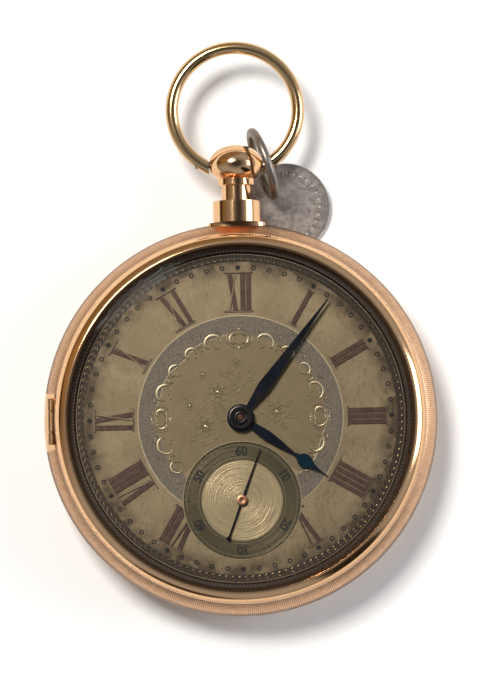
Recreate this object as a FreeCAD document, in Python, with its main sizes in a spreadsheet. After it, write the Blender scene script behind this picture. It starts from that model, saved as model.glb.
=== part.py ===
import FreeCAD, Part
import math
import os
import Sketcher

# Key-wound open face pocket watch.  Millimetres; the watch lies on its back: origin at the centre
# of the back on the resting plane, +Z out through the dial, +Y to twelve o'clock, +X to three.

V = FreeCAD.Vector
UP = V(0, 0, 1)
os.makedirs("parts", exist_ok=True)
doc = FreeCAD.newDocument("PocketWatch")
sheet = doc.addObject("Spreadsheet::Sheet", "Dims")

# name, value or formula, what it is
SIZES = [
    # case
    ("case_radius", 23.0, "largest radius of the band"),
    ("band_foot", "=case_radius - 0.4", "band radius at the back joint"),
    ("band_shoulder", "=case_radius - 1.4", "band radius at the bezel joint"),
    ("band_bulge_radius", 3.75, "section radius of the band"),
    ("joint_gap", 0.05, "gap between a lid and the band"),
    ("back_top", 3.3, "height of the back cover rim"),
    ("back_flat", "=case_radius - 6", "flat radius of the back"),
    ("back_curve", 6.33, "section radius of the back rim"),
    ("back_wall", 0.45, "back cover wall"),
    ("bezel_joint", 8.0, "height of the bezel joint"),
    ("wall_in", "=case_radius - 4", "inner wall around the movement"),
    ("lip_out", "=case_radius - 3.2", "outer radius of the lower lip"),
    ("lip_low", 1.45, "height of the lower lip"),
    ("ledge_in", "=case_radius - 4.5", "ledge that carries the movement"),
    ("ledge_low", 5.2, "underside of the ledge"),
    ("ledge_top", 6.2, "top of the ledge"),
    ("dial_wall", "=case_radius - 3.6", "inner wall around the dial"),
    ("rim_ring_out", "=case_radius - 3.15", "outside of the ribbed inner ring"),
    ("rim_ring_top", 8.7, "top of the ribbed inner ring"),
    ("bezel_bore", "=case_radius - 2.95", "bezel bore over the ribbed ring"),
    ("bezel_view", "=case_radius - 2.9", "bezel opening above the glass"),
    ("bezel_crown", "=case_radius - 2.65", "bezel radius at its top edge"),
    ("bezel_top", 10.25, "height of the bezel top edge"),
    ("bezel_bulge", 1.75, "section radius of the bezel"),
    ("groove_radius", "=case_radius - 2.6", "glass groove radius"),
    ("groove_low", 9.2, "glass groove underside"),
    ("groove_high", 9.75, "glass groove top"),
    ("glass_inner_edge", "=case_radius - 3.4", "inner edge of the glass dome"),
    ("glass_inner_rise", 1.6, "rise of the dome inside"),
    ("glass_outer_rise", 1.65, "rise of the dome outside"),
    ("cuvette_radius", "=case_radius - 3.65", "inner lid radius"),
    ("cuvette_low", 1.05, "inner lid underside"),
    ("cuvette_wall", 0.35, "inner lid thickness"),
    ("key_hole", 1.15, "key hole radius in the inner lid"),
    # pendant, bow, link and tag
    ("pendant_height", 5.66, "height of the pendant axis"),
    ("flange_half_width", 3.3, "saddle half width"),
    ("flange_half_depth", 1.2, "saddle half depth"),
    ("flange_start", "=case_radius - 2", "saddle start"),
    ("collar_start", "=case_radius + 0.05", "collar start"),
    ("collar_radius", 2.78, "collar radius"),
    ("collar_end", "=case_radius + 2.55", "collar end"),
    ("neck_radius", 1.71, "neck radius"),
    ("ball_centre", "=case_radius + 6.9", "ball centre from the case axis"),
    ("ball_radius", 3.15, "ball radius across"),
    ("ball_half_height", 2.35, "ball half height along the pendant"),
    ("bow_centre", "=case_radius + 13.3", "bow centre from the case axis"),
    ("bow_mid_radius", 7.4, "bow wire circle"),
    ("bow_wire", 0.75, "bow wire radius"),
    ("bow_play", 0.15, "gap between bow ends and ball"),
    ("bow_pin_radius", 0.4, "bow pin radius"),
    ("bow_pin_fit", 0.05, "running clearance of the bow on its pins"),
    ("bow_pin_start", 2.2, "bow pin inner end"),
    ("bow_pin_end", 4.75, "bow pin outer end"),
    ("link_x", 3.15, "link centre x"),
    ("link_y", "=case_radius + 7", "link centre y"),
    ("link_z", 5.0, "link centre z"),
    ("link_mid_radius", 3.95, "link wire circle"),
    ("link_wire", 0.5, "link wire radius"),
    ("link_heading", -71.1, "direction of the link plane, degrees"),
    ("link_lean", 7.0, "lean of the link, degrees"),
    ("step_radius", 2.15, "small step under the ball"),
    ("step_start", "=case_radius + 4.45", "start of the step under the ball"),
    ("tag_radius", 5.2, "tag radius"),
    ("tag_x", 5.77, "tag centre x"),
    ("tag_y", "=case_radius + 2.15", "tag centre y"),
    ("tag_z", 1.27, "tag centre z"),
    ("tag_thick", 0.45, "tag thickness"),
    ("tag_rim", 0.09, "raised rim of the tag"),
    ("tag_rim_width", 0.45, "width of the raised rim"),
    ("tag_hole", 1.2, "tag hole radius"),
    ("tag_hole_offset", 3.6, "tag hole from the tag centre"),
    ("tag_heading", 127.6, "direction of the hole from the tag centre"),
    ("tag_tilt", 9.5, "tilt of the tag, degrees"),
    # hinges
    ("bezel_pin_x", "=0.95 - case_radius", "bezel hinge axis x"),
    ("bezel_pin_z", 7.85, "bezel hinge axis z"),
    ("back_pin_x", "=0.5 - case_radius", "back hinge axis x"),
    ("back_pin_z", 3.3, "back hinge axis z"),
    ("cuvette_pin_x", "=3.55 - case_radius", "inner lid hinge axis x"),
    ("cuvette_pin_z", 1.4, "inner lid hinge axis z"),
    ("knuckle", 0.36, "knuckle radius"),
    ("small_knuckle", 0.25, "inner lid knuckle radius"),
    ("hinge_pin", 0.16, "hinge pin radius"),
    ("small_pin", 0.11, "inner lid hinge pin radius"),
    ("hinge_fit", 0.02, "running clearance on a hinge pin"),
    ("knuckle_half", 1.2, "half length of the middle knuckle"),
    ("hinge_half", 2.7, "half length of a hinge"),
    ("hinge_gap", 0.06, "gap beside and around a knuckle"),
    ("lid_knuckle_half", 1.0, "half length of the inner lid's knuckle"),
    ("lid_hinge_half", 2.3, "half length of the inner lid's hinge"),
    # dial and hands
    ("dial_low", 7.6, "dial underside"),
    ("dial_top", 8.1, "dial face"),
    ("dial_radius", "=case_radius - 3.7", "dial radius"),
    ("seconds_y", -9.6, "seconds axis"),
    ("seconds_recess", 6.85, "seconds circle radius"),
    ("seconds_depth", 0.18, "seconds circle depth"),
    ("seconds_inner", 4.7, "inner seconds disc radius"),
    ("dial_centre_hole", 1.1, "hole for the hour pipe"),
    ("seconds_hole", 0.34, "hole for the seconds pipe"),
    ("foot_radius", 0.45, "dial foot radius"),
    ("foot_circle", "=case_radius - 5.8", "dial feet circle"),
    ("foot_low", 5.9, "lower end of the dial feet"),
    ("numeral_in", 12.4, "inner end of the numerals"),
    ("numeral_out", 17.1, "outer end of the numerals"),
    ("numeral_rise", 0.16, "height of the numerals"),
    ("stroke_wide", 0.55, "thick numeral stroke"),
    ("stroke_thin", 0.18, "thin numeral stroke"),
    ("serif", 0.17, "numeral serif bar"),
    ("stroke_pitch", 0.68, "pitch of the upright strokes"),
    ("letter_x", 1.7, "width of an X"),
    ("letter_v", 1.75, "width of a V"),
    ("hour_low", 8.5, "hour hand underside"),
    ("minute_low", 8.92, "minute hand underside"),
    ("second_low", 8.24, "seconds hand underside"),
    ("hand_thick", 0.15, "hand thickness"),
    ("second_thick", 0.09, "seconds hand thickness"),
    ("hour_length", 12.2, "hour hand length"),
    ("hour_leaf", 1.2, "widest part of the hour hand's leaf"),
    ("hour_leaf_at", 3.8, "place of that width from the centre"),
    ("hour_neck_at", 7.4, "narrow neck of the hour hand from the centre"),
    ("hour_bulb", 1.63, "width of the pear bulb"),
    ("hour_bulb_at", 9.0, "centre of the pear bulb"),
    ("minute_leaf", 1.4, "widest part of the minute hand"),
    ("minute_leaf_at", 4.45, "place of that width from the centre"),
    ("minute_length", 17.3, "minute hand length"),
    ("second_length", 6.3, "seconds hand length"),
    ("second_tail", 5.0, "seconds hand tail"),
    ("hour_heading", 125.0, "hour hand, degrees after twelve"),
    ("minute_heading", 37.4, "minute hand, degrees after twelve"),
    ("second_heading", 20.5, "seconds hand, degrees after twelve"),
    ("hand_hub", 1.5, "hub radius of hour and minute hands"),
    # movement plates
    ("plate_low", 5.3, "main plate underside"),
    ("plate_top", 6.7, "main plate top"),
    ("plate_radius", "=case_radius - 4.7", "main plate radius"),
    ("plate_flange", "=case_radius - 3.8", "main plate flange radius"),
    ("plate_ring", "=case_radius - 4.6", "inner radius of the dial seat"),
    ("bar_low", 2.0, "bars, outer face"),
    ("bar_high", 2.85, "bars, inner face"),
    ("bar_half", 0.95, "bar half width"),
    ("barrel_bar_half", 1.7, "barrel bar half width"),
    ("cock_low", 1.75, "balance cock, outer face"),
    ("cock_high", 2.45, "balance cock, inner face"),
    ("post", 1.25, "radius of the bar feet"),
    ("screw_shank", 0.3, "bar screw shank radius"),
    ("screw_head", 0.7, "bar screw head radius"),
    ("screw_head_high", 0.25, "bar screw head height"),
    ("screw_end", 6.2, "end of the bar screws"),
    ("jewel_radius", 0.45, "jewel radius"),
    ("jewel_thick", 0.45, "jewel thickness"),
    ("pivot", 0.1, "pivot radius"),
    ("pivot_fit", 0.02, "running clearance of pivots"),
    ("shake", 0.05, "end shake of the arbors"),
    ("arbor", 0.2, "arbor radius"),
    # train
    ("barrel_module", 0.2, "barrel and centre pinion"),
    ("centre_module", 0.155, "centre wheel and third pinion"),
    ("third_module", 0.13, "third wheel and fourth pinion"),
    ("fourth_module", 0.11, "fourth wheel and escape pinion"),
    ("minute_module", 0.15, "cannon pinion and minute wheel"),
    ("barrel_heading", 70.0, "direction of the barrel"),
    ("minute_wheel_heading", 200.0, "direction of the minute wheel"),
    ("escape_heading", 200.0, "direction of the escape wheel from the fourth"),
    ("balance_line", 122.0, "direction from escape to balance"),
    ("escape_radius", 3.2, "escape wheel tip radius"),
    ("pallet_distance", 3.7, "escape axis to pallet axis"),
    ("balance_distance", 3.5, "pallet axis to balance axis"),
    ("balance_radius", 6.75, "balance rim radius"),
    ("balance_rim", 0.6, "balance rim width"),
    ("barrel_drum", 7.6, "barrel drum radius"),
    ("barrel_wall", 0.3, "barrel wall"),
    ("barrel_low", 3.1, "barrel underside"),
    ("barrel_high", 4.6, "barrel top"),
    ("barrel_cover_thick", 0.2, "barrel cover thickness"),
    ("ratchet_radius", 2.6, "ratchet wheel radius"),
    ("square_half", 0.42, "half side of the key squares"),
    ("square_low", 1.1, "outer end of the key squares"),
    ("set_arbor", 0.28, "setting arbor radius"),
    ("centre_arbor", 0.5, "hollow centre arbor radius"),
    ("centre_arbor_bore", 0.31, "bore of the centre arbor"),
    ("centre_fit", 0.05, "running clearance of the centre arbor"),
    ("cannon_pipe", 0.6, "cannon pinion pipe radius"),
    ("hour_pipe_bore", 0.65, "hour wheel pipe bore"),
    ("hour_pipe", 0.95, "hour wheel pipe radius"),
    ("case_shank", 0.35, "case screw shank radius"),
    ("case_screw_head", 0.85, "case screw head radius"),
    ("case_screw_end", 6.1, "end of the case screws"),
    ("arbor_journal", 0.6, "barrel arbor journals"),
    ("arbor_hub", 1.1, "barrel arbor hub"),
    ("arbor_pivot", 0.4, "barrel arbor upper pivot"),
    ("arbor_fit", 0.03, "running clearance of the barrel arbor"),
    ("stud", 0.25, "minute wheel stud radius"),
    ("stud_top", 7.52, "top of the minute wheel stud"),
    ("small_post", 0.45, "pallet bridge feet radius"),
    ("pallet_bar_half", 0.4, "pallet bridge half width"),
    ("pallet_bar_low", 3.86, "pallet bridge underside"),
    ("pallet_bar_high", 4.2, "pallet bridge top"),
    ("second_arbor", 0.15, "long pivot for the seconds hand"),
    ("ratchet_thick", 0.35, "ratchet wheel thickness"),
    ("click_stud", 0.25, "click screw shank radius"),
    ("spoke_half", 0.22, "half width of wheel spokes"),
    ("staff", 0.25, "balance staff radius"),
    ("collet", 0.55, "hairspring collet radius"),
    # formulas
    ("barrel_distance", "=barrel_module * 45", "80 and 10 teeth"),
    ("third_distance", "=centre_module * 45", "80 and 10 teeth"),
    ("fourth_distance", "=third_module * 42.5", "75 and 10 teeth"),
    ("escape_distance", "=fourth_module * 44", "80 and 8 teeth"),
    ("minute_distance", "=minute_module * 24", "12 and 36 teeth"),
    ("hour_module", "=minute_distance / 25", "10 and 40 teeth"),
    ("barrel_x", "=barrel_distance * cos(barrel_heading * 1deg)", ""),
    ("barrel_y", "=barrel_distance * sin(barrel_heading * 1deg)", ""),
    ("third_y", "=-(third_distance^2 - fourth_distance^2 + seconds_y^2) / (-2 * seconds_y)", ""),
    ("third_x", "=sqrt(third_distance^2 - third_y^2)", ""),
    ("escape_x", "=escape_distance * cos(escape_heading * 1deg)", ""),
    ("escape_y", "=seconds_y + escape_distance * sin(escape_heading * 1deg)", ""),
    ("pallet_x", "=escape_x + pallet_distance * cos(balance_line * 1deg)", ""),
    ("pallet_y", "=escape_y + pallet_distance * sin(balance_line * 1deg)", ""),
    ("balance_x", "=pallet_x + balance_distance * cos(balance_line * 1deg)", ""),
    ("balance_y", "=pallet_y + balance_distance * sin(balance_line * 1deg)", ""),
    ("minute_x", "=minute_distance * cos(minute_wheel_heading * 1deg)", ""),
    ("minute_y", "=minute_distance * sin(minute_wheel_heading * 1deg)", ""),
]
for row, (name, value, note) in enumerate(SIZES, start=1):
    sheet.set("A%d" % row, str(value))
    sheet.setAlias("A%d" % row, name)
    sheet.set("B%d" % row, note)
doc.recompute()

PARTS = {}


def X(text):
    """Write {name} as a reference to the sheet."""
    return str(text).replace("{", "Dims.").replace("}", "")


def num(text):
    """Value of a number, a name or an expression."""
    if isinstance(text, (int, float)):
        return float(text)
    value = sheet.evalExpression(X(text))
    return float(getattr(value, "Value", value))


def v(name):
    return num("{%s}" % name)


def bind(obj, prop, text):
    obj.setExpression(prop, X(text))


def place(obj, x=0, y=0, z=0, axis=None, angle=0):
    """Bind the position of an object; the turn is about the given axis."""
    if axis is not None:
        start = num(angle) or 1e-9
        obj.Placement = FreeCAD.Placement(V(0, 0, 0), FreeCAD.Rotation(axis, start))
        if not isinstance(angle, (int, float)):
            bind(obj, ".Placement.Rotation.Angle", "(%s) * 1deg" % angle)
    for key, text in (("x", x), ("y", y), ("z", z)):
        bind(obj, ".Placement.Base.%s" % key, text)
    return obj


def cyl(name, r, z0, z1, x=0, y=0):
    """Upright cylinder from z0 to z1."""
    c = doc.addObject("Part::Cylinder", name)
    bind(c, "Radius", r)
    bind(c, "Height", "(%s) - (%s)" % (z1, z0))
    return place(c, x, y, z0)


def rod(name, r, start, end, axis, a, b):
    """Cylinder along X or Y from start to end; a and b are its other two coordinates."""
    c = doc.addObject("Part::Cylinder", name)
    bind(c, "Radius", r)
    bind(c, "Height", "(%s) - (%s)" % (end, start))
    if axis == "x":
        return place(c, start, a, b, V(0, 1, 0), 90)
    return place(c, a, start, b, V(-1, 0, 0), 90)


def box(name, x0, x1, y0, y1, z0, z1):
    b = doc.addObject("Part::Box", name)
    bind(b, "Length", "(%s) - (%s)" % (x1, x0))
    bind(b, "Width", "(%s) - (%s)" % (y1, y0))
    bind(b, "Height", "(%s) - (%s)" % (z1, z0))
    return place(b, x0, y0, z0)


def fuse(name, shapes):
    f = doc.addObject("Part::MultiFuse", name)
    f.Shapes = shapes
    return f


def cut(name, base, tools):
    """Base less the tools."""
    c = doc.addObject("Part::Cut", name)
    c.Base = base
    c.Tool = tools[0] if len(tools) == 1 else fuse(name + "_tools", tools)
    return c


def solid(name, shape):
    """Feature that holds a shape made from the sheet's sizes."""
    f = doc.addObject("Part::Feature", name)
    f.Shape = shape
    return f


def part(name, obj):
    """Register an object as a piece of the watch."""
    obj.Label = name
    PARTS[name] = obj
    return obj


def draw(body, name, points, role, height=None):
    """Closed sketch; a point (a, b, radius, side) starts an arc bulging left (1) or right (-1)."""
    sk = body.newObject("Sketcher::SketchObject", name)
    sk.AttachmentSupport = [([f for f in body.Origin.OriginFeatures if f.Role == role][0], "")]
    sk.MapMode = "FlatFace"
    if height is not None:
        bind(sk, ".AttachmentOffset.Base.z", height)
    flat = [V(num(p[0]), num(p[1]), 0) for p in points]
    ends = []
    for i, p in enumerate(points):
        a, b = flat[i], flat[(i + 1) % len(flat)]
        if len(p) == 2:
            g = sk.addGeometry(Part.LineSegment(a, b), False)
        else:
            chord = b - a
            left = V(-chord.y, chord.x, 0).normalize() * p[3]
            sag = num(p[2]) - math.sqrt(num(p[2]) ** 2 - chord.Length ** 2 / 4)
            g = sk.addGeometry(Part.Arc(a, (a + b) * 0.5 + left * sag, b), False)
            sk.setExpression("Constraints[%d]" % sk.addConstraint(
                Sketcher.Constraint("Radius", g, num(p[2]))), X(p[2]))
        first = 1 if sk.getPoint(g, 1).distanceToPoint(a) < sk.getPoint(g, 2).distanceToPoint(a) else 2
        ends.append((g, first, 3 - first))
    for i, p in enumerate(points):
        g, first, last = ends[i]
        after, start = ends[(i + 1) % len(ends)][:2]
        sk.addConstraint(Sketcher.Constraint("Coincident", g, last, after, start))
        for kind, k in (("DistanceX", 0), ("DistanceY", 1)):
            c = sk.addConstraint(Sketcher.Constraint(kind, -1, 1, g, first, num(p[k])))
            sk.setExpression("Constraints[%d]" % c, X(p[k]))
    return sk


def turned(name, points, x=0, y=0):
    """Body turned about the upright axis from a radius and height profile."""
    body = doc.addObject("PartDesign::Body", name)
    sk = draw(body, name + "_profile", points, "XZ_Plane")
    rev = body.newObject("PartDesign::Revolution", name + "_turn")
    rev.Profile = sk
    rev.ReferenceAxis = (sk, ["V_Axis"])
    rev.Angle = 360
    body.Tip = rev
    return place(body, x, y, 0)


def drill(body, name, holes, top, depth):
    """Pocket round holes (x, y, radius) down from the given height."""
    sk = body.newObject("Sketcher::SketchObject", name + "_marks")
    plane = [f for f in body.Origin.OriginFeatures if f.Role == "XY_Plane"][0]
    sk.AttachmentSupport = [(plane, "")]
    sk.MapMode = "FlatFace"
    bind(sk, ".AttachmentOffset.Base.z", top)
    for x, y, r in holes:
        g = sk.addGeometry(Part.Circle(V(num(x), num(y), 0), UP, num(r)), False)
        for kind, text in (("DistanceX", x), ("DistanceY", y)):
            c = sk.addConstraint(Sketcher.Constraint(kind, -1, 1, g, 3, num(text)))
            sk.setExpression("Constraints[%d]" % c, X(text))
        c = sk.addConstraint(Sketcher.Constraint("Radius", g, num(r)))
        sk.setExpression("Constraints[%d]" % c, X(r))
    pocket = body.newObject("PartDesign::Pocket", name)
    pocket.Profile = sk
    bind(pocket, "Length", depth)
    body.Tip = pocket
    return body


def prism(points, z0, z1):
    """Upright prism over a closed outline."""
    loop = [V(x, y, z0) for x, y in points]
    return Part.Face(Part.makePolygon(loop + loop[:1])).extrude(V(0, 0, z1 - z0))


def ring(r, bore, z0, z1, at=V(0, 0, 0)):
    base = V(at.x, at.y, z0)
    return Part.makeCylinder(r, z1 - z0, base).cut(Part.makeCylinder(bore, z1 - z0, base))



def turn(shape, degrees, at=V(0, 0, 0)):
    shape.rotate(at, UP, degrees)
    return shape


def gear_outline(teeth, module, mate, phase, wheel):
    """Cycloidal clock teeth; wheel teeth have rounded tips, pinion leaves radial flanks."""
    pitch = 2 * math.pi / teeth
    r = teeth * module / 2
    half = pitch * (0.225 if wheel else 0.17)
    if wheel:
        roll = mate * module / 4
        flank = [(r - 1.25 * module, half * 0.96), (r, half)]
        for k in (0.35, 0.6, 0.8):
            t = k * module * 2.0 / r
            px = (r + roll) * math.cos(t) - roll * math.cos((r + roll) * t / roll)
            py = (r + roll) * math.sin(t) - roll * math.sin((r + roll) * t / roll)
            rise, lean = math.hypot(px, py), math.atan2(py, px)
            if rise < r + 1.05 * module and lean < half * 0.85:
                flank.append((rise, half - lean))
    else:
        flank = [(r - 1.45 * module, half), (r, half), (r + 0.22 * module, half * 0.8),
                 (r + 0.4 * module, half * 0.35)]
    points = []
    for i in range(teeth):
        mid = math.radians(phase) + i * pitch
        for rad, off in flank:
            points.append((rad * math.cos(mid - off), rad * math.sin(mid - off)))
        for rad, off in reversed(flank):
            points.append((rad * math.cos(mid + off), rad * math.sin(mid + off)))
    return points


def mesh_phase(heading, teeth_a, phase_a, teeth_b):
    """Phase of gear b, seen from a along the heading, that sets its gap on a tooth of a."""
    u = ((heading - phase_a) * teeth_a / 360.0) % 1.0
    return (heading + 180 + (u - 0.5) * 360.0 / teeth_b) % (360.0 / teeth_b)


def gear(name, teeth, module, mate, phase, z0, z1, at, wheel=True, hub=0.0, bore=0.0, spokes=0, rim=0.0):
    """Toothed wheel with crossings, or a solid pinion."""
    body = prism(gear_outline(teeth, module, mate, phase, wheel), z0, z1)
    if spokes:
        inner = teeth * module / 2 - 1.25 * module - rim
        window = ring(inner, hub, z0 - 1, z1 + 1)
        arms = Part.makeBox(2 * inner, 2 * v("spoke_half"), z1 - z0 + 2, V(0, -v("spoke_half"), z0 - 1))
        for i in range(spokes):
            window = window.cut(turn(arms.copy(), 90 + i * 360.0 / spokes))
        body = body.cut(window)
    if bore:
        body = body.cut(Part.makeCylinder(bore, z1 - z0 + 2, V(0, 0, z0 - 1)))
    return solid_at(name, body, at)


def solid_at(name, shape, at):
    """Feature whose shape is made about the axis and then placed."""
    f = solid(name, shape)
    place(f, at[0], at[1], 0)
    return f


CENTRE = ("0", "0")
BARREL = ("{barrel_x}", "{barrel_y}")
THIRD = ("{third_x}", "{third_y}")
FOURTH = ("0", "{seconds_y}")
ESCAPE = ("{escape_x}", "{escape_y}")
PALLET = ("{pallet_x}", "{pallet_y}")
BALANCE = ("{balance_x}", "{balance_y}")
MINUTE = ("{minute_x}", "{minute_y}")


def xy(at):
    return num(at[0]), num(at[1])


def heading(a, b):
    (ax, ay), (bx, by) = xy(a), xy(b)
    return math.degrees(math.atan2(by - ay, bx - ax))


# ---------------------------------------------------------------- case
rim_out = "{back_flat} + sqrt({back_curve}^2 - ({back_curve} - {back_top})^2)"
rim_in = "{back_flat} + sqrt(({back_curve} - {back_wall})^2 - ({back_curve} - {back_top})^2)"
band = turned("band", [
    ("{wall_in}", "{lip_low}"), ("{lip_out}", "{lip_low}"), ("{lip_out}", "{back_top} + {joint_gap}"),
    ("{band_foot}", "{back_top} + {joint_gap}", "{band_bulge_radius}", -1),
    ("{band_shoulder}", "{bezel_joint}"), ("{rim_ring_out}", "{bezel_joint}"),
    ("{rim_ring_out}", "{rim_ring_top}"), ("{dial_wall}", "{rim_ring_top}"), ("{dial_wall}", "{ledge_top}"),
    ("{ledge_in}", "{ledge_top}"), ("{ledge_in}", "{ledge_low}"), ("{wall_in}", "{ledge_low}")])
saddle = doc.addObject("Part::Ellipse", "saddle_outline")
bind(saddle, "MajorRadius", "{flange_half_width}")
bind(saddle, "MinorRadius", "{flange_half_depth}")
place(saddle, 0, "{flange_start}", "{pendant_height}", V(-1, 0, 0), 90)
saddle_block = doc.addObject("Part::Extrusion", "saddle_block")
saddle_block.Base = saddle
saddle_block.DirMode = "Custom"
saddle_block.Dir = V(0, 1, 0)
saddle_block.Solid = True
bind(saddle_block, "LengthFwd", "{collar_start} - {flange_start}")
collar = rod("collar", "{collar_radius}", "{collar_start}", "{collar_end}", "y", 0, "{pendant_height}")
neck = rod("neck", "{neck_radius}", "{collar_end}", "{ball_centre}", "y", 0, "{pendant_height}")
ball = doc.addObject("Part::Ellipsoid", "ball")
bind(ball, "Radius1", "{ball_half_height}")
bind(ball, "Radius2", "{ball_radius}")
bind(ball, "Radius3", "{ball_radius}")
place(ball, 0, "{ball_centre}", "{pendant_height}", V(-1, 0, 0), 90)
step = rod("neck_step", "{step_radius}", "{step_start}", "{ball_centre}", "y", 0, "{pendant_height}")
well = cyl("well", "{dial_wall}", "{lip_low} - 1", "{rim_ring_top} + 1")
pendant = cut("pendant", fuse("pendant_solid", [saddle_block, collar, neck, step, ball]), [
    well, rod("bow_pin_hole", "{bow_pin_radius}", "-{ball_radius} - 1", "{ball_radius} + 1", "x",
              "{ball_centre}", "{pendant_height}")])


def spans(pin, sides, spare):
    """Stretches of a hinge along Y: the two outer knuckles or the middle one."""
    half, end = ("{lid_knuckle_half}", "{lid_hinge_half}") if pin is CUVETTE_PIN else (
        "{knuckle_half}", "{hinge_half}")
    if sides:
        near = "%s + {hinge_gap}%s" % (half, " / 2" if spare else "")
        far = "%s + {hinge_gap}" % end if spare else end
        return [("-(%s)" % far, "-(%s)" % near), (near, far)]
    far = "%s + {hinge_gap}" % half if spare else half
    return [("-(%s)" % far, far)]


def knuckles(name, pin, r, sides):
    """Two outer knuckles, or the middle one."""
    return [rod("%s_%d" % (name, i), r, a, b, "y", *pin) for i, (a, b) in enumerate(spans(pin, sides, False))]


def notch(name, pin, r, sides):
    """Clearance around the other half's knuckles."""
    return [rod("%s_%d" % (name, i), "%s + {hinge_gap}" % r, a, b, "y", *pin)
            for i, (a, b) in enumerate(spans(pin, sides, True))]


BEZEL_PIN = ("{bezel_pin_x}", "{bezel_pin_z}")
BACK_PIN = ("{back_pin_x}", "{back_pin_z}")
CUVETTE_PIN = ("{cuvette_pin_x}", "{cuvette_pin_z}")
case_knuckles = (knuckles("case_bezel_knuckle", BEZEL_PIN, "{knuckle}", True)
                 + knuckles("case_back_knuckle", BACK_PIN, "{knuckle}", True)
                 + knuckles("case_lid_knuckle", CUVETTE_PIN, "{small_knuckle}", True))
case_notches = (notch("case_bezel_notch", BEZEL_PIN, "{knuckle}", False)
                + notch("case_back_notch", BACK_PIN, "{knuckle}", False)
                + notch("case_lid_notch", CUVETTE_PIN, "{small_knuckle}", False))
case_bores = [rod("case_bezel_bore", "{hinge_pin}", "-{hinge_half} - 1", "{hinge_half} + 1", "y", *BEZEL_PIN),
              rod("case_back_bore", "{hinge_pin}", "-{hinge_half} - 1", "{hinge_half} + 1", "y", *BACK_PIN),
              rod("case_lid_bore", "{small_pin}", "-{hinge_half} - 1", "{hinge_half} + 1", "y", *CUVETTE_PIN)]
part("case_middle", cut("case_cut", fuse("case_solid", [band, pendant] + case_knuckles),
                        case_notches + case_bores))
for name, pin, r, end in (("bezel_hinge_pin", BEZEL_PIN, "{hinge_pin}", "{hinge_half}"),
                          ("back_hinge_pin", BACK_PIN, "{hinge_pin}", "{hinge_half}"),
                          ("inner_lid_hinge_pin", CUVETTE_PIN, "{small_pin}", "{lid_hinge_half}")):
    part(name, rod(name, r, "-" + end, end, "y", *pin))


def lid(name, base, pin, r, pin_r, tabs=()):
    """Lid with its middle knuckle, notched for the case knuckles and bored for the pin."""
    tab = knuckles(name + "_knuckle", pin, r, False) + list(tabs)
    bore = rod(name + "_bore", "%s + {hinge_fit}" % pin_r, "-{hinge_half} - 1", "{hinge_half} + 1", "y", *pin)
    return part(name, cut(name + "_cut", fuse(name + "_solid", [base] + tab),
                          notch(name + "_notch", pin, r, True) + [bore]))


crown = ("{bezel_crown}", "{bezel_top}")
bezel_ring = turned("bezel_ring", [
    ("{bezel_bore}", "{bezel_joint} + {joint_gap}"),
    ("{band_shoulder}", "{bezel_joint} + {joint_gap}", "{bezel_bulge}", -1),
    crown, ("{bezel_view}", "{bezel_top}"), ("{bezel_view}", "{groove_high}"),
    ("{groove_radius}", "{groove_high}"), ("{groove_radius}", "{groove_low}"), ("{bezel_bore}", "{groove_low}")])
lid("bezel", bezel_ring, BEZEL_PIN, "{knuckle}", "{hinge_pin}", [
    box("bezel_tab", "{bezel_pin_x}", "-{bezel_bore} - 0.3", "-{knuckle_half}", "{knuckle_half}",
        "{bezel_joint} + {joint_gap}", "{bezel_pin_z} + {knuckle}")])
inner_dome = "({glass_inner_edge}^2 + {glass_inner_rise}^2) / (2 * {glass_inner_rise})"
outer_dome = "({bezel_view}^2 + {glass_outer_rise}^2) / (2 * {glass_outer_rise})"
part("crystal", turned("glass", [
    ("0", "{groove_low} + {glass_inner_rise}", inner_dome, 1), ("{glass_inner_edge}", "{groove_low}"),
    ("{groove_radius}", "{groove_low}"), ("{groove_radius}", "{groove_high}"),
    ("{bezel_view}", "{groove_high}", outer_dome, -1), ("0", "{groove_high} + {glass_outer_rise}")]))
back = turned("back_shell", [
    ("0", "0"), ("{back_flat}", "0", "{back_curve}", -1), (rim_out, "{back_top}"),
    (rim_in, "{back_top}", "{back_curve} - {back_wall}", 1), ("{back_flat}", "{back_wall}"), ("0", "{back_wall}")])
lid("back_cover", back, BACK_PIN, "{knuckle}", "{hinge_pin}")
cuvette_disc = turned("cuvette_disc", [
    ("0", "{cuvette_low}"), ("{cuvette_radius}", "{cuvette_low}"),
    ("{cuvette_radius}", "{cuvette_low} + {cuvette_wall}"), ("0", "{cuvette_low} + {cuvette_wall}")])
drill(cuvette_disc, "key_holes", [(*CENTRE, "{key_hole}"), (*BARREL, "{key_hole}")],
      "{cuvette_low} + {cuvette_wall}", "{cuvette_wall}")
lid("inner_lid", cuvette_disc, CUVETTE_PIN, "{small_knuckle}", "{small_pin}")

# ---------------------------------------------------------------- bow, link, tag
bow_ring = doc.addObject("Part::Torus", "bow_ring")
bind(bow_ring, "Radius1", "{bow_mid_radius}")
bind(bow_ring, "Radius2", "{bow_wire}")
place(bow_ring, 0, "{bow_centre}", "{pendant_height}")
room = doc.addObject("Part::Sphere", "ball_room")
bind(room, "Radius", "{ball_radius} + {bow_play}")
place(room, 0, "{ball_centre}", "{pendant_height}")
part("bow", cut("bow_cut", bow_ring, [room, rod(
    "bow_bore", "{bow_pin_radius} + {bow_pin_fit}", "-{bow_mid_radius}", "{bow_mid_radius}", "x",
    "{ball_centre}", "{pendant_height}")]))
part("bow_pins", fuse("bow_pins_pair", [
    rod("bow_pin_left", "{bow_pin_radius}", "-{bow_pin_end}", "-{bow_pin_start}", "x",
        "{ball_centre}", "{pendant_height}"),
    rod("bow_pin_right", "{bow_pin_radius}", "{bow_pin_start}", "{bow_pin_end}", "x",
        "{ball_centre}", "{pendant_height}")]))
link = doc.addObject("Part::Torus", "link_ring")
bind(link, "Radius1", "{link_mid_radius}")
bind(link, "Radius2", "{link_wire}")
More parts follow.
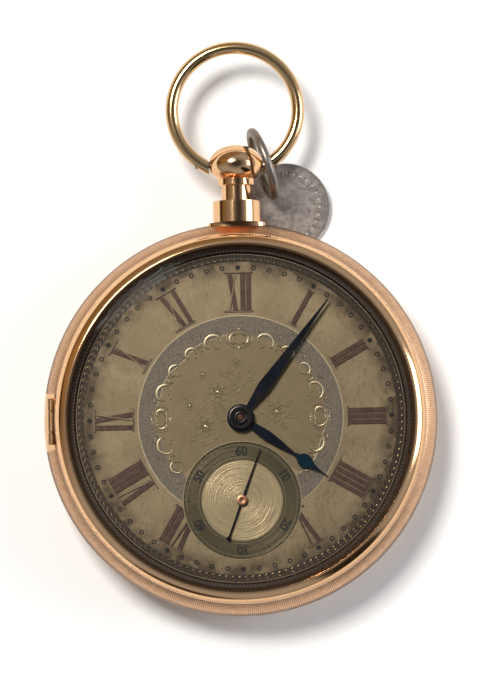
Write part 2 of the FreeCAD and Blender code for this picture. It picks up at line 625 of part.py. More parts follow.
link.Placement = FreeCAD.Placement(V(0, 0, 0), FreeCAD.Rotation(UP, v("link_heading"))
                                   * FreeCAD.Rotation(V(1, 0, 0), 90 - v("link_lean")))
for key in "xyz":
    bind(link, ".Placement.Base.%s" % key, "{link_%s}" % key)
part("link", link)


def tag_shape():
    """Disc with a raised rim on both faces and one hole."""
    r, t, rise = v("tag_radius"), v("tag_thick"), v("tag_rim")
    disc = Part.makeCylinder(r, t, V(0, 0, -t / 2))
    edge = ring(r, r - v("tag_rim_width"), -t / 2 - rise, t / 2 + rise)
    disc = disc.fuse(edge)
    hole = Part.makeCylinder(v("tag_hole"), 2 * t + 1, V(v("tag_hole_offset"), 0, -t - 0.5))
    return disc.cut(hole)


tag = part("tag", solid("tag_disc", tag_shape()))
tag.Placement = FreeCAD.Placement(V(0, 0, 0), FreeCAD.Rotation(UP, v("tag_heading"))
                                  * FreeCAD.Rotation(V(0, -1, 0), v("tag_tilt")))
for key in "xyz":
    bind(tag, ".Placement.Base.%s" % key, "{tag_%s}" % key)

# ---------------------------------------------------------------- main plate and bars
plate = turned("plate_disc", [
    ("0", "{plate_low}"), ("{plate_radius}", "{plate_low}"), ("{plate_radius}", "{ledge_top}"),
    ("{plate_flange}", "{ledge_top}"), ("{plate_flange}", "{dial_low}"), ("{plate_ring}", "{dial_low}"),
    ("{plate_ring}", "{plate_top}"), ("0", "{plate_top}")])
FEET = [("{foot_circle} * cos(%ddeg)" % a, "{foot_circle} * sin(%ddeg)" % a) for a in (40, 165, 285)]
# bar name, pivot, foot, half width
BARS = (("centre_bridge", CENTRE, ("15.4", "-1.2"), "{bar_half}"),
        ("third_bridge", THIRD, ("14.0", "-8.2"), "{bar_half}"),
        ("fourth_bridge", FOURTH, ("6.6", "-15.2"), "{bar_half}"),
        ("escape_bridge", ESCAPE, ("-6.6", "-15.6"), "{bar_half}"))
BARREL_FEET = (("15.4", "4.3"), ("-9.6", "13.2"))
COCK_FOOT = ("-15.2", "3.6")
PALLET_SIDE = 2.7
pa = math.radians(v("balance_line") - 90)
pb = math.radians(v("balance_line"))
PALLET_FEET = [("{pallet_x} + %.4f" % (s * PALLET_SIDE * math.cos(pa) + 0.5 * math.cos(pb)),
                "{pallet_y} + %.4f" % (s * PALLET_SIDE * math.sin(pa) + 0.5 * math.sin(pb))) for s in (1, -1)]
SCREWS = [b[2] for b in BARS] + list(BARREL_FEET) + [COCK_FOOT]
CASE_SCREWS = [("{plate_radius} * 0.985 * cos(%ddeg)" % a, "{plate_radius} * 0.985 * sin(%ddeg)" % a)
               for a in (85, 265)]
drill(plate, "plate_feet_holes", [(*f, "{foot_radius}") for f in FEET], "{plate_top}",
      "{plate_top} - {foot_low}")
drill(plate, "plate_screw_holes", [(*s, "{screw_shank}") for s in SCREWS], "{screw_end}",
      "{screw_end} - {plate_low}")
drill(plate, "plate_case_screw_holes", [(*s, "{case_shank}") for s in CASE_SCREWS], "{case_screw_end}",
      "{case_screw_end} - {plate_low}")
drill(plate, "plate_centre_hole", [(*CENTRE, "{centre_arbor} + {centre_fit}")], "{plate_top}",
      "{plate_top} - {plate_low}")
drill(plate, "plate_barrel_hole", [(*BARREL, "{arbor_pivot} + {arbor_fit}")], "{plate_top}",
      "{plate_top} - {plate_low}")
drill(plate, "plate_jewel_holes", [(*p, "{jewel_radius}") for p in (THIRD, FOURTH, ESCAPE, BALANCE)],
      "{plate_top}", "{plate_top} - {plate_low}")
drill(plate, "plate_pallet_hole", [(*PALLET, "{jewel_radius}")], "{plate_top}", "{plate_top} - {plate_low}")
stud = cyl("minute_stud", "{stud}", "{plate_top} - 0.2", "{stud_top}", *MINUTE)
part("main_plate", fuse("plate_solid", [plate, stud]))


def bar_between(name, a, b, half, z0, z1):
    """Straight bar with round ends."""
    blank = doc.addObject("Part::Box", name)
    bind(blank, "Length", "sqrt(((%s) - (%s))^2 + ((%s) - (%s))^2)" % (b[0], a[0], b[1], a[1]))
    bind(blank, "Width", "2 * %s" % half)
    bind(blank, "Height", "(%s) - (%s)" % (z1, z0))
    blank.Placement = FreeCAD.Placement(V(0, 0, 0), FreeCAD.Rotation(UP, 10))
    way = "atan2((%s) - (%s); (%s) - (%s))" % (b[1], a[1], b[0], a[0])
    bind(blank, ".Placement.Rotation.Angle", way)
    bind(blank, ".Placement.Base.x", "(%s) + %s * sin(%s)" % (a[0], half, way))
    bind(blank, ".Placement.Base.y", "(%s) - %s * cos(%s)" % (a[1], half, way))
    bind(blank, ".Placement.Base.z", z0)
    return blank


def bridge(name, pivots, feet, half, z0, z1, hole, foot_top="{plate_low}", screws=True, extra=()):
    """Bar over the pivots on round feet that reach the main plate."""
    ends = list(feet) + list(pivots)
    pieces = [cyl("%s_foot_%d" % (name, i), "{post}" if screws else "{small_post}", z0, foot_top, *f)
              for i, f in enumerate(feet)]
    pieces += [cyl("%s_end_%d" % (name, i), "(%s) + 0.25" % half, z0, z1, *p) for i, p in enumerate(pivots)]
    for i in range(len(ends) - 1):
        a, b = (feet[0], pivots[0]) if i == 0 else (pivots[0], feet[1])
        pieces.append(bar_between("%s_bar_%d" % (name, i), a, b, half, z0, z1))
    tools = [cyl("%s_pivot_%d" % (name, i), hole, "(%s) - 1" % z0, "(%s) + 1" % z1, *p)
             for i, p in enumerate(pivots)]
    if screws:
        tools += [cyl("%s_screw_%d" % (name, i), "{screw_shank}", "(%s) - 1" % z0, "{plate_low} + 1", *f)
                  for i, f in enumerate(feet)]
    return part(name, cut(name + "_cut", fuse(name + "_solid", pieces), tools + list(extra)))


for name, pivot, foot, half in BARS:
    hole = "{centre_arbor} + {centre_fit}" if name == "centre_bridge" else "{jewel_radius}"
    bridge(name, [pivot], [foot], half, "{bar_low}", "{bar_high}", hole)
bar_way = math.atan2(num(BARREL_FEET[0][1]) - v("barrel_y"), num(BARREL_FEET[0][0]) - v("barrel_x"))
CLICK = ("{barrel_x} + %.4f" % (4.3 * math.cos(bar_way)), "{barrel_y} + %.4f" % (4.3 * math.sin(bar_way)))
bridge("barrel_bridge", [BARREL], BARREL_FEET, "{barrel_bar_half}", "{bar_low}", "{bar_high}",
       "{arbor_journal} + {arbor_fit}",
       extra=[cyl("click_screw_hole", "{click_stud}", "{bar_low} - 1", "{bar_high} + 1", *CLICK)])
bridge("balance_cock", [BALANCE], [COCK_FOOT], "{bar_half}", "{cock_low}", "{cock_high}", "{jewel_radius}")
bridge("pallet_bridge", [PALLET], PALLET_FEET, "{pallet_bar_half}", "{pallet_bar_low}", "{pallet_bar_high}",
       "{pivot} + {pivot_fit}", screws=False)


def screw_set(name, places, lows, head, shank, head_high, end):
    """Slotted screws seen from the back, heads on the outer faces."""
    shapes = []
    for (x, y), low in zip(places, lows):
        at = V(num(x), num(y), low - head_high)
        screw = Part.makeCylinder(head, head_high, at).fuse(
            Part.makeCylinder(shank, end - low, at + V(0, 0, head_high)))
        slot = Part.makeBox(2 * head, head * 0.3, head_high * 0.5, at - V(head, head * 0.15, 0))
        shapes.append(screw.cut(turn(slot, 37 * len(shapes) + 15, at)))
    return part(name, solid(name, Part.makeCompound(shapes)))


screw_set("bridge_screws", SCREWS, [v("bar_low")] * 6 + [v("cock_low")], v("screw_head"), v("screw_shank"),
          v("screw_head_high"), v("screw_end"))
screw_set("case_screws", CASE_SCREWS, [v("ledge_low")] * 2, v("case_screw_head"), v("case_shank"),
          0.3, v("case_screw_end"))


def jewels():
    """Ring jewels in the bars, the cock and the main plate."""
    r, t = v("jewel_radius"), v("jewel_thick")
    hole = v("pivot") + v("pivot_fit")
    wide = v("second_arbor") + v("pivot_fit") * 2
    sets = [(p, v("bar_high") - t, hole) for p in (THIRD, FOURTH, ESCAPE)]
    sets += [(BALANCE, v("cock_high") - t, hole)]
    sets += [(p, v("plate_low"), hole) for p in (THIRD, ESCAPE, PALLET, BALANCE)]
    sets += [(FOURTH, v("plate_low"), wide)]
    return Part.makeCompound([ring(r, bore, z, z + t, V(*xy(p), 0)) for p, z, bore in sets])


part("jewels", solid("jewel_set", jewels()))

# ---------------------------------------------------------------- train
z_barrel = (v("barrel_low"), v("barrel_low") + 0.4)
train = {}


def arbor(name, at, low, high, steps, leaves=None, pivots=True):
    """Arbor with shoulders at low and high, end pivots, extra drums and pinion leaves."""
    pieces = [cyl(name + "_stem", "{arbor}", low, high, *at)]
    if pivots:
        pieces.append(cyl(name + "_pivots", "{pivot}", "(%s) - 0.4" % low, "(%s) + 0.4" % high, *at))
    for i, (r, z0, z1) in enumerate(steps):
        pieces.append(cyl("%s_step_%d" % (name, i), r, z0, z1, *at))
    if leaves is not None:
        pieces.append(leaves)
    return pieces


low = "{bar_high} + {shake}"
high = "{plate_low} - {shake}"
# barrel
phase = {"barrel": 0.0}
phase["centre_pinion"] = mesh_phase(heading(BARREL, CENTRE), 80, 0.0, 10)
barrel_gear = gear("barrel_teeth", 80, v("barrel_module"), 10, 0.0, *z_barrel, BARREL, hub=0, bore=0)
drum = cyl("barrel_drum_blank", "{barrel_drum}", "{barrel_low}", "{barrel_high} - {barrel_cover_thick}", *BARREL)
part("barrel", cut("barrel_cut", fuse("barrel_solid", [barrel_gear, drum]), [
    cyl("barrel_room", "{barrel_drum} - {barrel_wall}", "{barrel_low} + {barrel_wall}", "{barrel_high}", *BARREL),
    cyl("barrel_floor_hole", "{arbor_journal} + {arbor_fit}", "{barrel_low} - 1", "{barrel_high}", *BARREL)]))
part("barrel_cover", cut("barrel_cover_cut", cyl(
    "barrel_cover_disc", "{barrel_drum}", "{barrel_high} - {barrel_cover_thick}", "{barrel_high}", *BARREL), [
        cyl("barrel_cover_hole", "{arbor_journal} + {arbor_fit}", "{barrel_high} - 1", "{barrel_high} + 1",
            *BARREL)]))


def spiral(r0, r1, turns, thick, z0, z1, at, start=0.0):
    """Flat strip wound as a spiral, as one solid."""
    n = int(turns * 24)
    inner, outer = [], []
    for i in range(n + 1):
        a = start + 2 * math.pi * turns * i / n
        r = r0 + (r1 - r0) * i / n
        inner.append((r * math.cos(a), r * math.sin(a)))
        outer.append(((r + thick) * math.cos(a), (r + thick) * math.sin(a)))
    return prism(inner + outer[::-1], z0, z1).translated(V(*xy(at), 0))


spring_room = v("barrel_drum") - v("barrel_wall")
part("mainspring", solid("mainspring_coil", spiral(
    spring_room - 3.6, spring_room - 0.121, 6.0, 0.12, v("barrel_low") + v("barrel_wall") + 0.05,
    v("barrel_high") - v("barrel_cover_thick") - 0.05, BARREL)))
winding = arbor("winding", BARREL, "{bar_low} - {ratchet_thick}", "{plate_low} - {shake}", [
    ("{arbor_journal}", "{bar_low} - 0.02", "{barrel_low} + {barrel_wall} + {shake}"),
    ("{arbor_hub}", "{barrel_low} + {barrel_wall} + {shake}", "{barrel_high} - {barrel_cover_thick} - {shake}"),
    ("{arbor_journal}", "{barrel_high} - {barrel_cover_thick} - {shake}", "{plate_low} - {shake}"),
    ("{arbor_pivot}", "{plate_low} - {shake}", "{plate_low} + 1")], pivots=False)
half = "{square_half}"
winding.append(box("winding_square", "{barrel_x} - %s" % half, "{barrel_x} + %s" % half,
                   "{barrel_y} - %s" % half, "{barrel_y} + %s" % half, "{square_low}", "{bar_low}"))
part("winding_arbor", fuse("winding_solid", winding))


def ratchet():
    """Ratchet wheel with saw teeth and a square hole."""
    r, n = v("ratchet_radius"), 30
    points = []
    for i in range(n):
        a = 2 * math.pi * i / n
        points += [(r * math.cos(a), r * math.sin(a)),
                   ((r - 0.3) * math.cos(a + 0.02), (r - 0.3) * math.sin(a + 0.02))]
    z0 = v("bar_low") - v("ratchet_thick") - 0.03
    h = v("square_half")
    body = prism(points, z0, z0 + v("ratchet_thick"))
    return body.cut(Part.makeBox(2 * h, 2 * h, 2, V(-h, -h, z0 - 1)))


part("ratchet_wheel", solid_at("ratchet", ratchet(), BARREL))


def click_shape():
    """Click lever around its own pivot; the beak lies just outside the ratchet teeth."""
    t = v("ratchet_thick")
    z0 = v("bar_low") - t - 0.03
    r = v("ratchet_radius") + 0.08
    hub = Part.makeCylinder(0.62, t, V(0, 0, z0))
    beak = math.radians(35)
    tip = V(r * math.cos(beak) - 4.3, r * math.sin(beak), 0)
    arm = prism([(0.45, -0.3), (-0.45, 0.35), (tip.x, tip.y), (tip.x + 0.3, tip.y + 0.42), (0.5, 0.45)],
                z0, z0 + t)
    shape = hub.fuse(arm).cut(Part.makeCylinder(v("click_stud") + v("pivot_fit"), 2, V(0, 0, z0 - 1)))
    return turn(shape, math.degrees(bar_way))


part("click", solid_at("click_lever", click_shape(), CLICK))
part("click_screw", fuse("click_screw_solid", [
    cyl("click_screw_shank", "{click_stud}", "{bar_low} - {ratchet_thick} - 0.05", "{bar_high}", *CLICK),
    cyl("click_screw_head", "{click_stud} * 2", "{bar_low} - {ratchet_thick} - 0.2",
        "{bar_low} - {ratchet_thick} - 0.05", *CLICK)]))


# centre wheel on a hollow arbor, setting arbor and cannon pinion
pinion_z = (v("barrel_low") - 0.05, v("barrel_low") + 0.55)
centre_leaves = gear("centre_leaves", 10, v("barrel_module"), 80, phase["centre_pinion"], *pinion_z, CENTRE,
                     wheel=False)
z_centre = (4.85, 5.05)
centre_teeth = gear("centre_teeth", 80, v("centre_module"), 10, 0.0, *z_centre, CENTRE, hub=1.3, spokes=4,
                    rim=0.55)
part("centre_wheel", cut("centre_wheel_cut", fuse("centre_wheel_solid", [
    centre_leaves, centre_teeth, cyl("centre_stem", "{centre_arbor}", "{bar_low} + 0.02", "{plate_top}", *CENTRE),
    cyl("centre_seat", "{centre_arbor} + 0.35", "4.6", "4.85", *CENTRE)]), [
        cyl("centre_bore", "{centre_arbor_bore}", "0", "9", *CENTRE)]))
set_square = box("set_square", "-" + half, half, "-" + half, half, "{square_low}", "{bar_low} - {shake}")
part("setting_arbor", fuse("setting_solid", [
    set_square, cyl("set_stem", "{set_arbor}", "{square_low}", "9.3", *CENTRE)]))
cannon_phase = 0.0
cannon_leaves = gear("cannon_leaves", 12, v("minute_module"), 36, cannon_phase, 6.8, 7.2, CENTRE, wheel=False)
part("cannon_pinion", cut("cannon_cut", fuse("cannon_solid", [
    cannon_leaves, cyl("cannon_pipe_blank", "{cannon_pipe}", "{plate_top} + {shake}", "9.22", *CENTRE)]), [
        cyl("cannon_bore", "{set_arbor}", "0", "10", *CENTRE)]))
# third
phase["third_pinion"] = mesh_phase(heading(CENTRE, THIRD), 80, 0.0, 10)
third_leaves = gear("third_leaves", 10, v("centre_module"), 80, phase["third_pinion"], 4.65, 5.2, THIRD,
                    wheel=False)
third_teeth = gear("third_teeth", 75, v("third_module"), 10, 0.0, 3.3, 3.5, THIRD, hub=0.9, spokes=4, rim=0.45)
part("third_wheel", fuse("third_solid", arbor("third", THIRD, low, high, [("0.45", "3.5", "3.7")], third_leaves)
                         + [third_teeth]))
# fourth, with the long pivot that carries the seconds hand
phase["fourth_pinion"] = mesh_phase(heading(THIRD, FOURTH), 75, 0.0, 10)
fourth_leaves = gear("fourth_leaves", 10, v("third_module"), 75, phase["fourth_pinion"], 3.12, 3.72, FOURTH,
                     wheel=False)
fourth_teeth = gear("fourth_teeth", 80, v("fourth_module"), 8, 0.0, 3.9, 4.1, FOURTH, hub=0.8, spokes=4,
                    rim=0.4)
part("fourth_wheel", fuse("fourth_solid", arbor("fourth", FOURTH, low, high, [
    ("0.45", "3.72", "3.9"), ("{second_arbor}", "{plate_low} - 0.1", "{second_low} + {second_thick}")],
    fourth_leaves) + [fourth_teeth]))
# escape
phase["escape_pinion"] = mesh_phase(heading(FOURTH, ESCAPE), 80, 0.0, 8)
escape_leaves = gear("escape_leaves", 8, v("fourth_module"), 80, phase["escape_pinion"], 3.84, 4.24, ESCAPE,
                     wheel=False)


def escape_shape():
    """Fifteen pointed teeth on a light rim with four spokes."""
    r, z0, z1 = v("escape_radius"), 4.45, 4.65
    points = []
    for i in range(15):
        a = 2 * math.pi * i / 15
        for k, off in ((0.75, 0.0), (1.0, 0.13), (0.985, 0.165), (0.75, 0.15)):
            points.append((r * k * math.cos(a + off), r * k * math.sin(a + off)))
    body = prism(points, z0, z1)
    window = ring(r * 0.62, 0.6, z0 - 1, z1 + 1)
    for i in range(4):
        window = window.cut(turn(Part.makeBox(r, 0.3, 3, V(0, -0.15, z0 - 1)), 90 * i))
    return turn(body.cut(window), v("balance_line") - math.degrees(0.1475))


part("escape_wheel", fuse("escape_solid", arbor("escape", ESCAPE, low, high, [("0.35", "4.24", "4.45")],
                                                escape_leaves) + [solid_at("escape_ring", escape_shape(), ESCAPE)]))


def lever_shape():
    """Lever with two pallet arms and a fork; local +X runs to the balance."""
    z0, z1 = 4.42, 4.68
    d, r = v("pallet_distance"), v("escape_radius")
    body = Part.makeCylinder(0.42, z1 - z0, V(0, 0, z0))
    body = body.fuse(prism([(0, -0.2), (1.9, -0.14), (1.9, 0.14), (0, 0.2)], z0, z1))
    fork = prism([(1.8, -0.14), (2.15, -0.36), (2.62, -0.36), (2.62, -0.17), (2.3, -0.17), (2.3, 0.17),
                  (2.62, 0.17), (2.62, 0.36), (2.15, 0.36), (1.8, 0.14)], z0, z1)
    body = body.fuse(fork)
    for side in (1, -1):
        a = math.radians(32)
        foot = V(-d + (r + 0.34) * math.cos(a), side * (r + 0.34) * math.sin(a), 0)
        arm = prism([(-0.25, side * 0.1), (foot.x - 0.2, foot.y + side * 0.1), (foot.x + 0.3, foot.y + side * 0.12),
                     (0.25, side * 0.15)][::side], z0, z1)
        body = body.fuse(arm)
    return turn(body, v("balance_line"))


def stones():
    """Two pallet stones set in the arm ends, just clear of the escape wheel teeth."""
    d, r = v("pallet_distance"), v("escape_radius")
    out = []
    for side in (1, -1):
        a = math.radians(32)
        c = V(-d + (r + 0.17) * math.cos(a), side * (r + 0.17) * math.sin(a), 0)
        stone = Part.makeBox(0.22, 0.4, 0.2, V(-0.11, -0.2, 4.45))
        stone.rotate(V(0, 0, 0), UP, side * 32)
        out.append(stone.translated(c))
    return turn(Part.makeCompound(out), v("balance_line"))


lever_body = solid_at("lever_body", lever_shape(), PALLET)
stone_body = solid_at("stone_body", stones(), PALLET)
part("lever", cut("lever_cut", fuse("lever_solid", [lever_body] + arbor(
    "pallet", PALLET, "{pallet_bar_high} + {shake}", high, [])), [stone_body]))
part("pallet_stones", solid_at("stone_set", stones(), PALLET))


def balance_shape():
    """Flat rim, three arms and screws around the rim."""
    r, w, z0, z1 = v("balance_radius"), v("balance_rim"), 3.0, 3.6
    r -= 0.25
    body = ring(r, r - w, z0, z1).fuse(Part.makeCylinder(0.75, 0.25, V(0, 0, 3.2)))
    for i in range(3):
        body = body.fuse(turn(Part.makeBox(r - 0.3, 0.6, 0.2, V(0, -0.3, 3.2)), 120 * i + 20))
    for i in range(12):
        screw = Part.makeCylinder(0.2, 0.45, V(r - 0.2, 0, 3.3), V(1, 0, 0))
        body = body.fuse(turn(screw, 30 * i + 5))
    return body.cut(Part.makeCylinder(v("staff"), 3, V(0, 0, 2)))


part("balance_wheel", solid_at("balance_ring", balance_shape(), BALANCE))
part("balance_staff", fuse("staff_solid", [
    cyl("staff_stem", "{staff}", "{cock_high} + {shake}", high, *BALANCE),
    cyl("staff_pivots", "{pivot}", "{cock_high} + {shake} - 0.4", "%s + 0.4" % high, *BALANCE),
    cyl("staff_collet", "{collet}", "{cock_high} + 0.13", "2.82", *BALANCE)]))
ux, uy = math.cos(math.radians(v("balance_line") + 180)), math.sin(math.radians(v("balance_line") + 180))
PIN = ("{balance_x} + %.4f" % (0.82 * ux), "{balance_y} + %.4f" % (0.82 * uy))
part("roller", cut("roller_cut", fuse("roller_solid", [
    cyl("roller_table", "1.15", "3.9", "4.15", *BALANCE), cyl("impulse_pin", "0.11", "4.15", "4.37", *PIN)]), [
        cyl("roller_bore", "{staff}", "3", "5", *BALANCE)]))
part("hairspring", solid("hairspring_coil", spiral(
    v("collet") + 0.05, 3.3, 9.0, 0.06, 2.6, 2.72, BALANCE, math.radians(60))))


def regulator_shape():
    """Ring around the balance jewel with a pointer."""
    z0, z1 = v("cock_low") - 0.25, v("cock_low") - 0.05
    body = Part.makeCylinder(1.25, z1 - z0, V(0, 0, z0)).fuse(
        prism([(0, -0.3), (5.6, -0.08), (5.9, 0), (5.6, 0.08), (0, 0.3)], z0, z1))
    return turn(body.cut(Part.makeCylinder(0.82, 2, V(0, 0, z0 - 1))), 35)


part("regulator", solid_at("regulator_arm", regulator_shape(), BALANCE))
part("cap_jewel", cut("cap_cut", cyl("cap_seat", "0.8", "{cock_low} - 0.25", "{cock_low}", *BALANCE), [
    cyl("cap_dimple", "0.35", "{cock_low} - 1", "{cock_low} - 0.12", *BALANCE)]))
# motion work
phase["minute_wheel"] = mesh_phase(heading(CENTRE, MINUTE), 12, cannon_phase, 36)
minute_teeth = gear("minute_teeth", 36, v("minute_module"), 12, phase["minute_wheel"], 6.85, 7.05, MINUTE)
minute_leaves = gear("minute_leaves", 10, v("hour_module"), 40, 0.0, 7.05, 7.5, MINUTE, wheel=False)
part("minute_wheel", cut("minute_wheel_cut", fuse("minute_wheel_solid", [minute_teeth, minute_leaves]), [
    cyl("minute_wheel_bore", "{stud} + {pivot_fit}", "6", "8", *MINUTE)]))
phase["hour_wheel"] = mesh_phase(heading(MINUTE, CENTRE), 10, 0.0, 40)
hour_teeth = gear("hour_teeth", 40, v("hour_module"), 10, phase["hour_wheel"], 7.25, 7.42, CENTRE)
part("hour_wheel", cut("hour_wheel_cut", fuse("hour_wheel_solid", [
    hour_teeth, cyl("hour_pipe_blank", "{hour_pipe}", "7.25", "{hour_low} + {hand_thick}", *CENTRE)]), [
        cyl("hour_pipe_bore_tool", "{hour_pipe_bore}", "7", "10", *CENTRE)]))

# ---------------------------------------------------------------- dial, numerals, hands
dial = turned("dial_disc", [("0", "{dial_low}"), ("{dial_radius}", "{dial_low}"),
                            ("{dial_radius}", "{dial_top} - 0.1"), ("{dial_radius} - 0.12", "{dial_top}"),
                            ("0", "{dial_top}")])
drill(dial, "seconds_circle", [(*FOURTH, "{seconds_recess}")], "{dial_top}", "{seconds_depth}")
drill(dial, "dial_holes", [(*CENTRE, "{dial_centre_hole}"), (*FOURTH, "{seconds_hole}")], "{dial_top}",
      "{dial_top} - {dial_low}")
inner_disc = cut("inner_seconds_cut", cyl("inner_seconds", "{seconds_inner}", "{dial_top} - {seconds_depth} - 0.1",
                                          "{dial_top} - {seconds_depth} + 0.04", *FOURTH),
                 [cyl("inner_seconds_hole", "{seconds_hole}", "7", "9", *FOURTH)])
feet = [cyl("dial_foot_%d" % i, "{foot_radius}", "{foot_low}", "{dial_low} + 0.1", *f)
        for i, f in enumerate(FEET)]
part("dial", fuse("dial_solid", [dial, inner_disc] + feet))


def stroke(x0, x1, wide0, wide1, r0, r1, z0, z1):
    """Numeral stroke from the inner to the outer end at offsets x0 and x1 from the axis."""
    return prism([(x0 - wide0 / 2, r0), (x0 + wide0 / 2, r0), (x1 + wide1 / 2, r1), (x1 - wide1 / 2, r1)],
                 z0, z1)


def numeral(text, z0, z1):
    """Roman numeral read with its feet towards the centre, centred on the local Y axis."""
    r0, r1 = v("numeral_in"), v("numeral_out")
    wide, thin, pitch, serif = v("stroke_wide"), v("stroke_thin"), v("stroke_pitch"), v("serif")
    widths = {"I": pitch, "V": v("letter_v"), "X": v("letter_x")}
    x = -sum(widths[c] for c in text) / 2
    left = x
    shapes = []
    for c in text:
        w = widths[c]
        mid = x + w / 2
        if c == "I":
            shapes.append(stroke(mid, mid, wide, wide, r0, r1, z0, z1))
        elif c == "V":
            shapes.append(stroke(mid - 0.05, mid - w * 0.27, wide, wide, r0, r1, z0, z1))
            shapes.append(stroke(mid + 0.1, mid + w * 0.3, thin, thin, r0, r1, z0, z1))
        else:
            shapes.append(stroke(mid + w * 0.22, mid - w * 0.22, wide, wide, r0, r1, z0, z1))
            shapes.append(stroke(mid - w * 0.22, mid + w * 0.22, thin, thin, r0, r1, z0, z1))
        x += w
    half = -left + 0.15
    for r in (r0, r1 - serif):
        shapes.append(prism([(-half, r), (half, r), (half, r + serif), (-half, r + serif)], z0, z1))
    return shapes[0].fuse(shapes[1:])


def numerals():
    """Hours one to twelve without the six, which the seconds circle replaces."""
    names = "I II III IIII V - VII VIII IX X XI XII".split()
    z0 = v("dial_top")
    circle = Part.makeCylinder(v("seconds_recess") + 0.1, 5, V(0, v("seconds_y"), z0 - 2))
    shapes = []
    for i, text in enumerate(names):
        if text != "-":
            shapes.append(turn(numeral(text, z0, z0 + v("numeral_rise")), -30.0 * (i + 1)).cut(circle))
    return Part.makeCompound(shapes)


part("hour_numerals", solid("numeral_set", numerals()))


def hand(name, shape, angle, at, z):
    f = solid(name, shape)
    return part(name, place(f, at[0], at[1], z, V(0, 0, -1), angle))


def lance():
    """Minute hand: round hub with a raised collar, narrow root and a long tapered blade."""
    hub, length, thick = v("hand_hub"), v("minute_length"), v("hand_thick")
    right = [(0.3, 0.5), (0.27, hub), (0.42, hub * 1.7), (v("minute_leaf") / 2, v("minute_leaf_at")),
             (0.07, length * 0.985)]
    blade = prism(right + [(0, length)] + [(-x, y) for x, y in reversed(right)], 0, thick)
    collar = Part.makeCylinder(hub, thick + 0.06).fuse(Part.makeCylinder(hub * 0.72, thick + 0.16))
    return blade.fuse(collar).cut(Part.makeCylinder(v("cannon_pipe"), 2, V(0, 0, -1)))


def hour_shape():
    """Leaf blade, pear bulb and fine tip."""
    hub, length, thick = v("hand_hub"), v("hour_length"), v("hand_thick")
    leaf, leaf_at, neck_at = v("hour_leaf") / 2, v("hour_leaf_at"), v("hour_neck_at")
    bulb, bulb_at = v("hour_bulb") / 2, v("hour_bulb_at")
    right = [(0.42, 0.5), (0.42, hub), (leaf * 0.93, leaf_at * 0.8), (leaf, leaf_at),
             (leaf * 0.72, (leaf_at + neck_at) / 2), (0.17, neck_at)]
    for i in range(9):
        a = math.radians(-68 + i * 16)
        right.append((bulb * math.cos(a), bulb_at + bulb * 1.2 * math.sin(a)))
    right += [(0.26, bulb_at + 1.45), (0.12, bulb_at + 2.0), (0.04, length)]
    points = right + [(-x, y) for x, y in reversed(right)]
    collar = Part.makeCylinder(hub + 0.1, thick + 0.06)
    return prism(points, 0, thick).fuse(collar).cut(Part.makeCylinder(v("hour_pipe"), 2, V(0, 0, -1)))


hand("hour_hand", hour_shape(), "{hour_heading}", CENTRE, "{hour_low}")
hand("minute_hand", lance(), "{minute_heading}", CENTRE, "{minute_low}")
second_blade = prism([(-0.14, 0), (0.14, 0), (0.05, v("second_length")), (-0.05, v("second_length"))], 0,
                     v("second_thick"))
second_tail = prism([(-0.12, 0), (-0.09, -v("second_tail") + 0.3), (0.09, -v("second_tail") + 0.3), (0.12, 0)],
                    0, v("second_thick"))
second_end = Part.makeCylinder(0.26, v("second_thick"), V(0, -v("second_tail") + 0.26, 0))
second_hub = Part.makeCylinder(0.63, v("second_thick") + 0.09)
second_pipe = Part.makeCylinder(v("seconds_hole") - 0.06, 0.6, V(0, 0, -0.5))
second_shape = second_blade.fuse([second_tail, second_end, second_hub, second_pipe]).cut(
    Part.makeCylinder(v("second_arbor"), 2, V(0, 0, -1)))
hand("seconds_hand", second_shape, "{second_heading}", FOURTH, "{second_low}")


def click_spring():
    """Thin curved spring behind the click, its root on the bar."""
    t = v("ratchet_thick")
    z0 = v("bar_low") - t
    pts = []
    for i in range(9):
        a = math.radians(-20 - 12 * i)
        pts.append((3.1 * math.cos(a), 3.1 * math.sin(a)))
    outer = [(x * 1.04, y * 1.04) for x, y in pts]
    blade = prism(pts + outer[::-1], z0, z0 + t)
    root = Part.makeCylinder(0.3, t, V(pts[-1][0], pts[-1][1], z0))
    return turn(blade.fuse(root), math.degrees(bar_way) - 10)


part("click_spring", solid_at("click_spring_blade", click_spring(), BARREL))
doc.recompute()

# ---------------------------------------------------------------- checks and export
bad = [o.Name for o in doc.Objects if "Invalid" in o.State or "Error" in o.State]
if bad:
    raise RuntimeError("not built: " + ", ".join(bad))
for name, obj in PARTS.items():
    shape = obj.Shape
    if shape.isNull() or not shape.isValid() or shape.Volume <= 0:
        raise RuntimeError("bad shape: " + name)
for name, obj in PARTS.items():
    obj.Shape.exportStep("parts/%s.step" % name)
print(len(PARTS), "parts")
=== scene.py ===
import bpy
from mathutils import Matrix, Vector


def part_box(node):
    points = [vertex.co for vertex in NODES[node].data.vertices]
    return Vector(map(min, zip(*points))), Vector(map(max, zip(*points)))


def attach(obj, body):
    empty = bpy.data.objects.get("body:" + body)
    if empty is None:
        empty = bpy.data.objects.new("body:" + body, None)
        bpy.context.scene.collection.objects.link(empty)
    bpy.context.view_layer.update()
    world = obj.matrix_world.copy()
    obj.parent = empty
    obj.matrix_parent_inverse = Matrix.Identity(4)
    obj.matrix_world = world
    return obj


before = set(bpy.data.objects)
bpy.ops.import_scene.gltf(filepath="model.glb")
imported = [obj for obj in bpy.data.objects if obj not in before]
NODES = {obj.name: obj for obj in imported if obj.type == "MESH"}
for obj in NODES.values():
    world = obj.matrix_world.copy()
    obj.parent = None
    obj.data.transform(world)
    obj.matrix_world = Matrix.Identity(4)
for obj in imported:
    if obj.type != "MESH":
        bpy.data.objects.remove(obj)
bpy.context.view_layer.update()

from math import asin, cos, hypot, pi, radians, sin, sqrt

import bmesh
import bpy
import numpy as np
from mathutils import Matrix, Vector

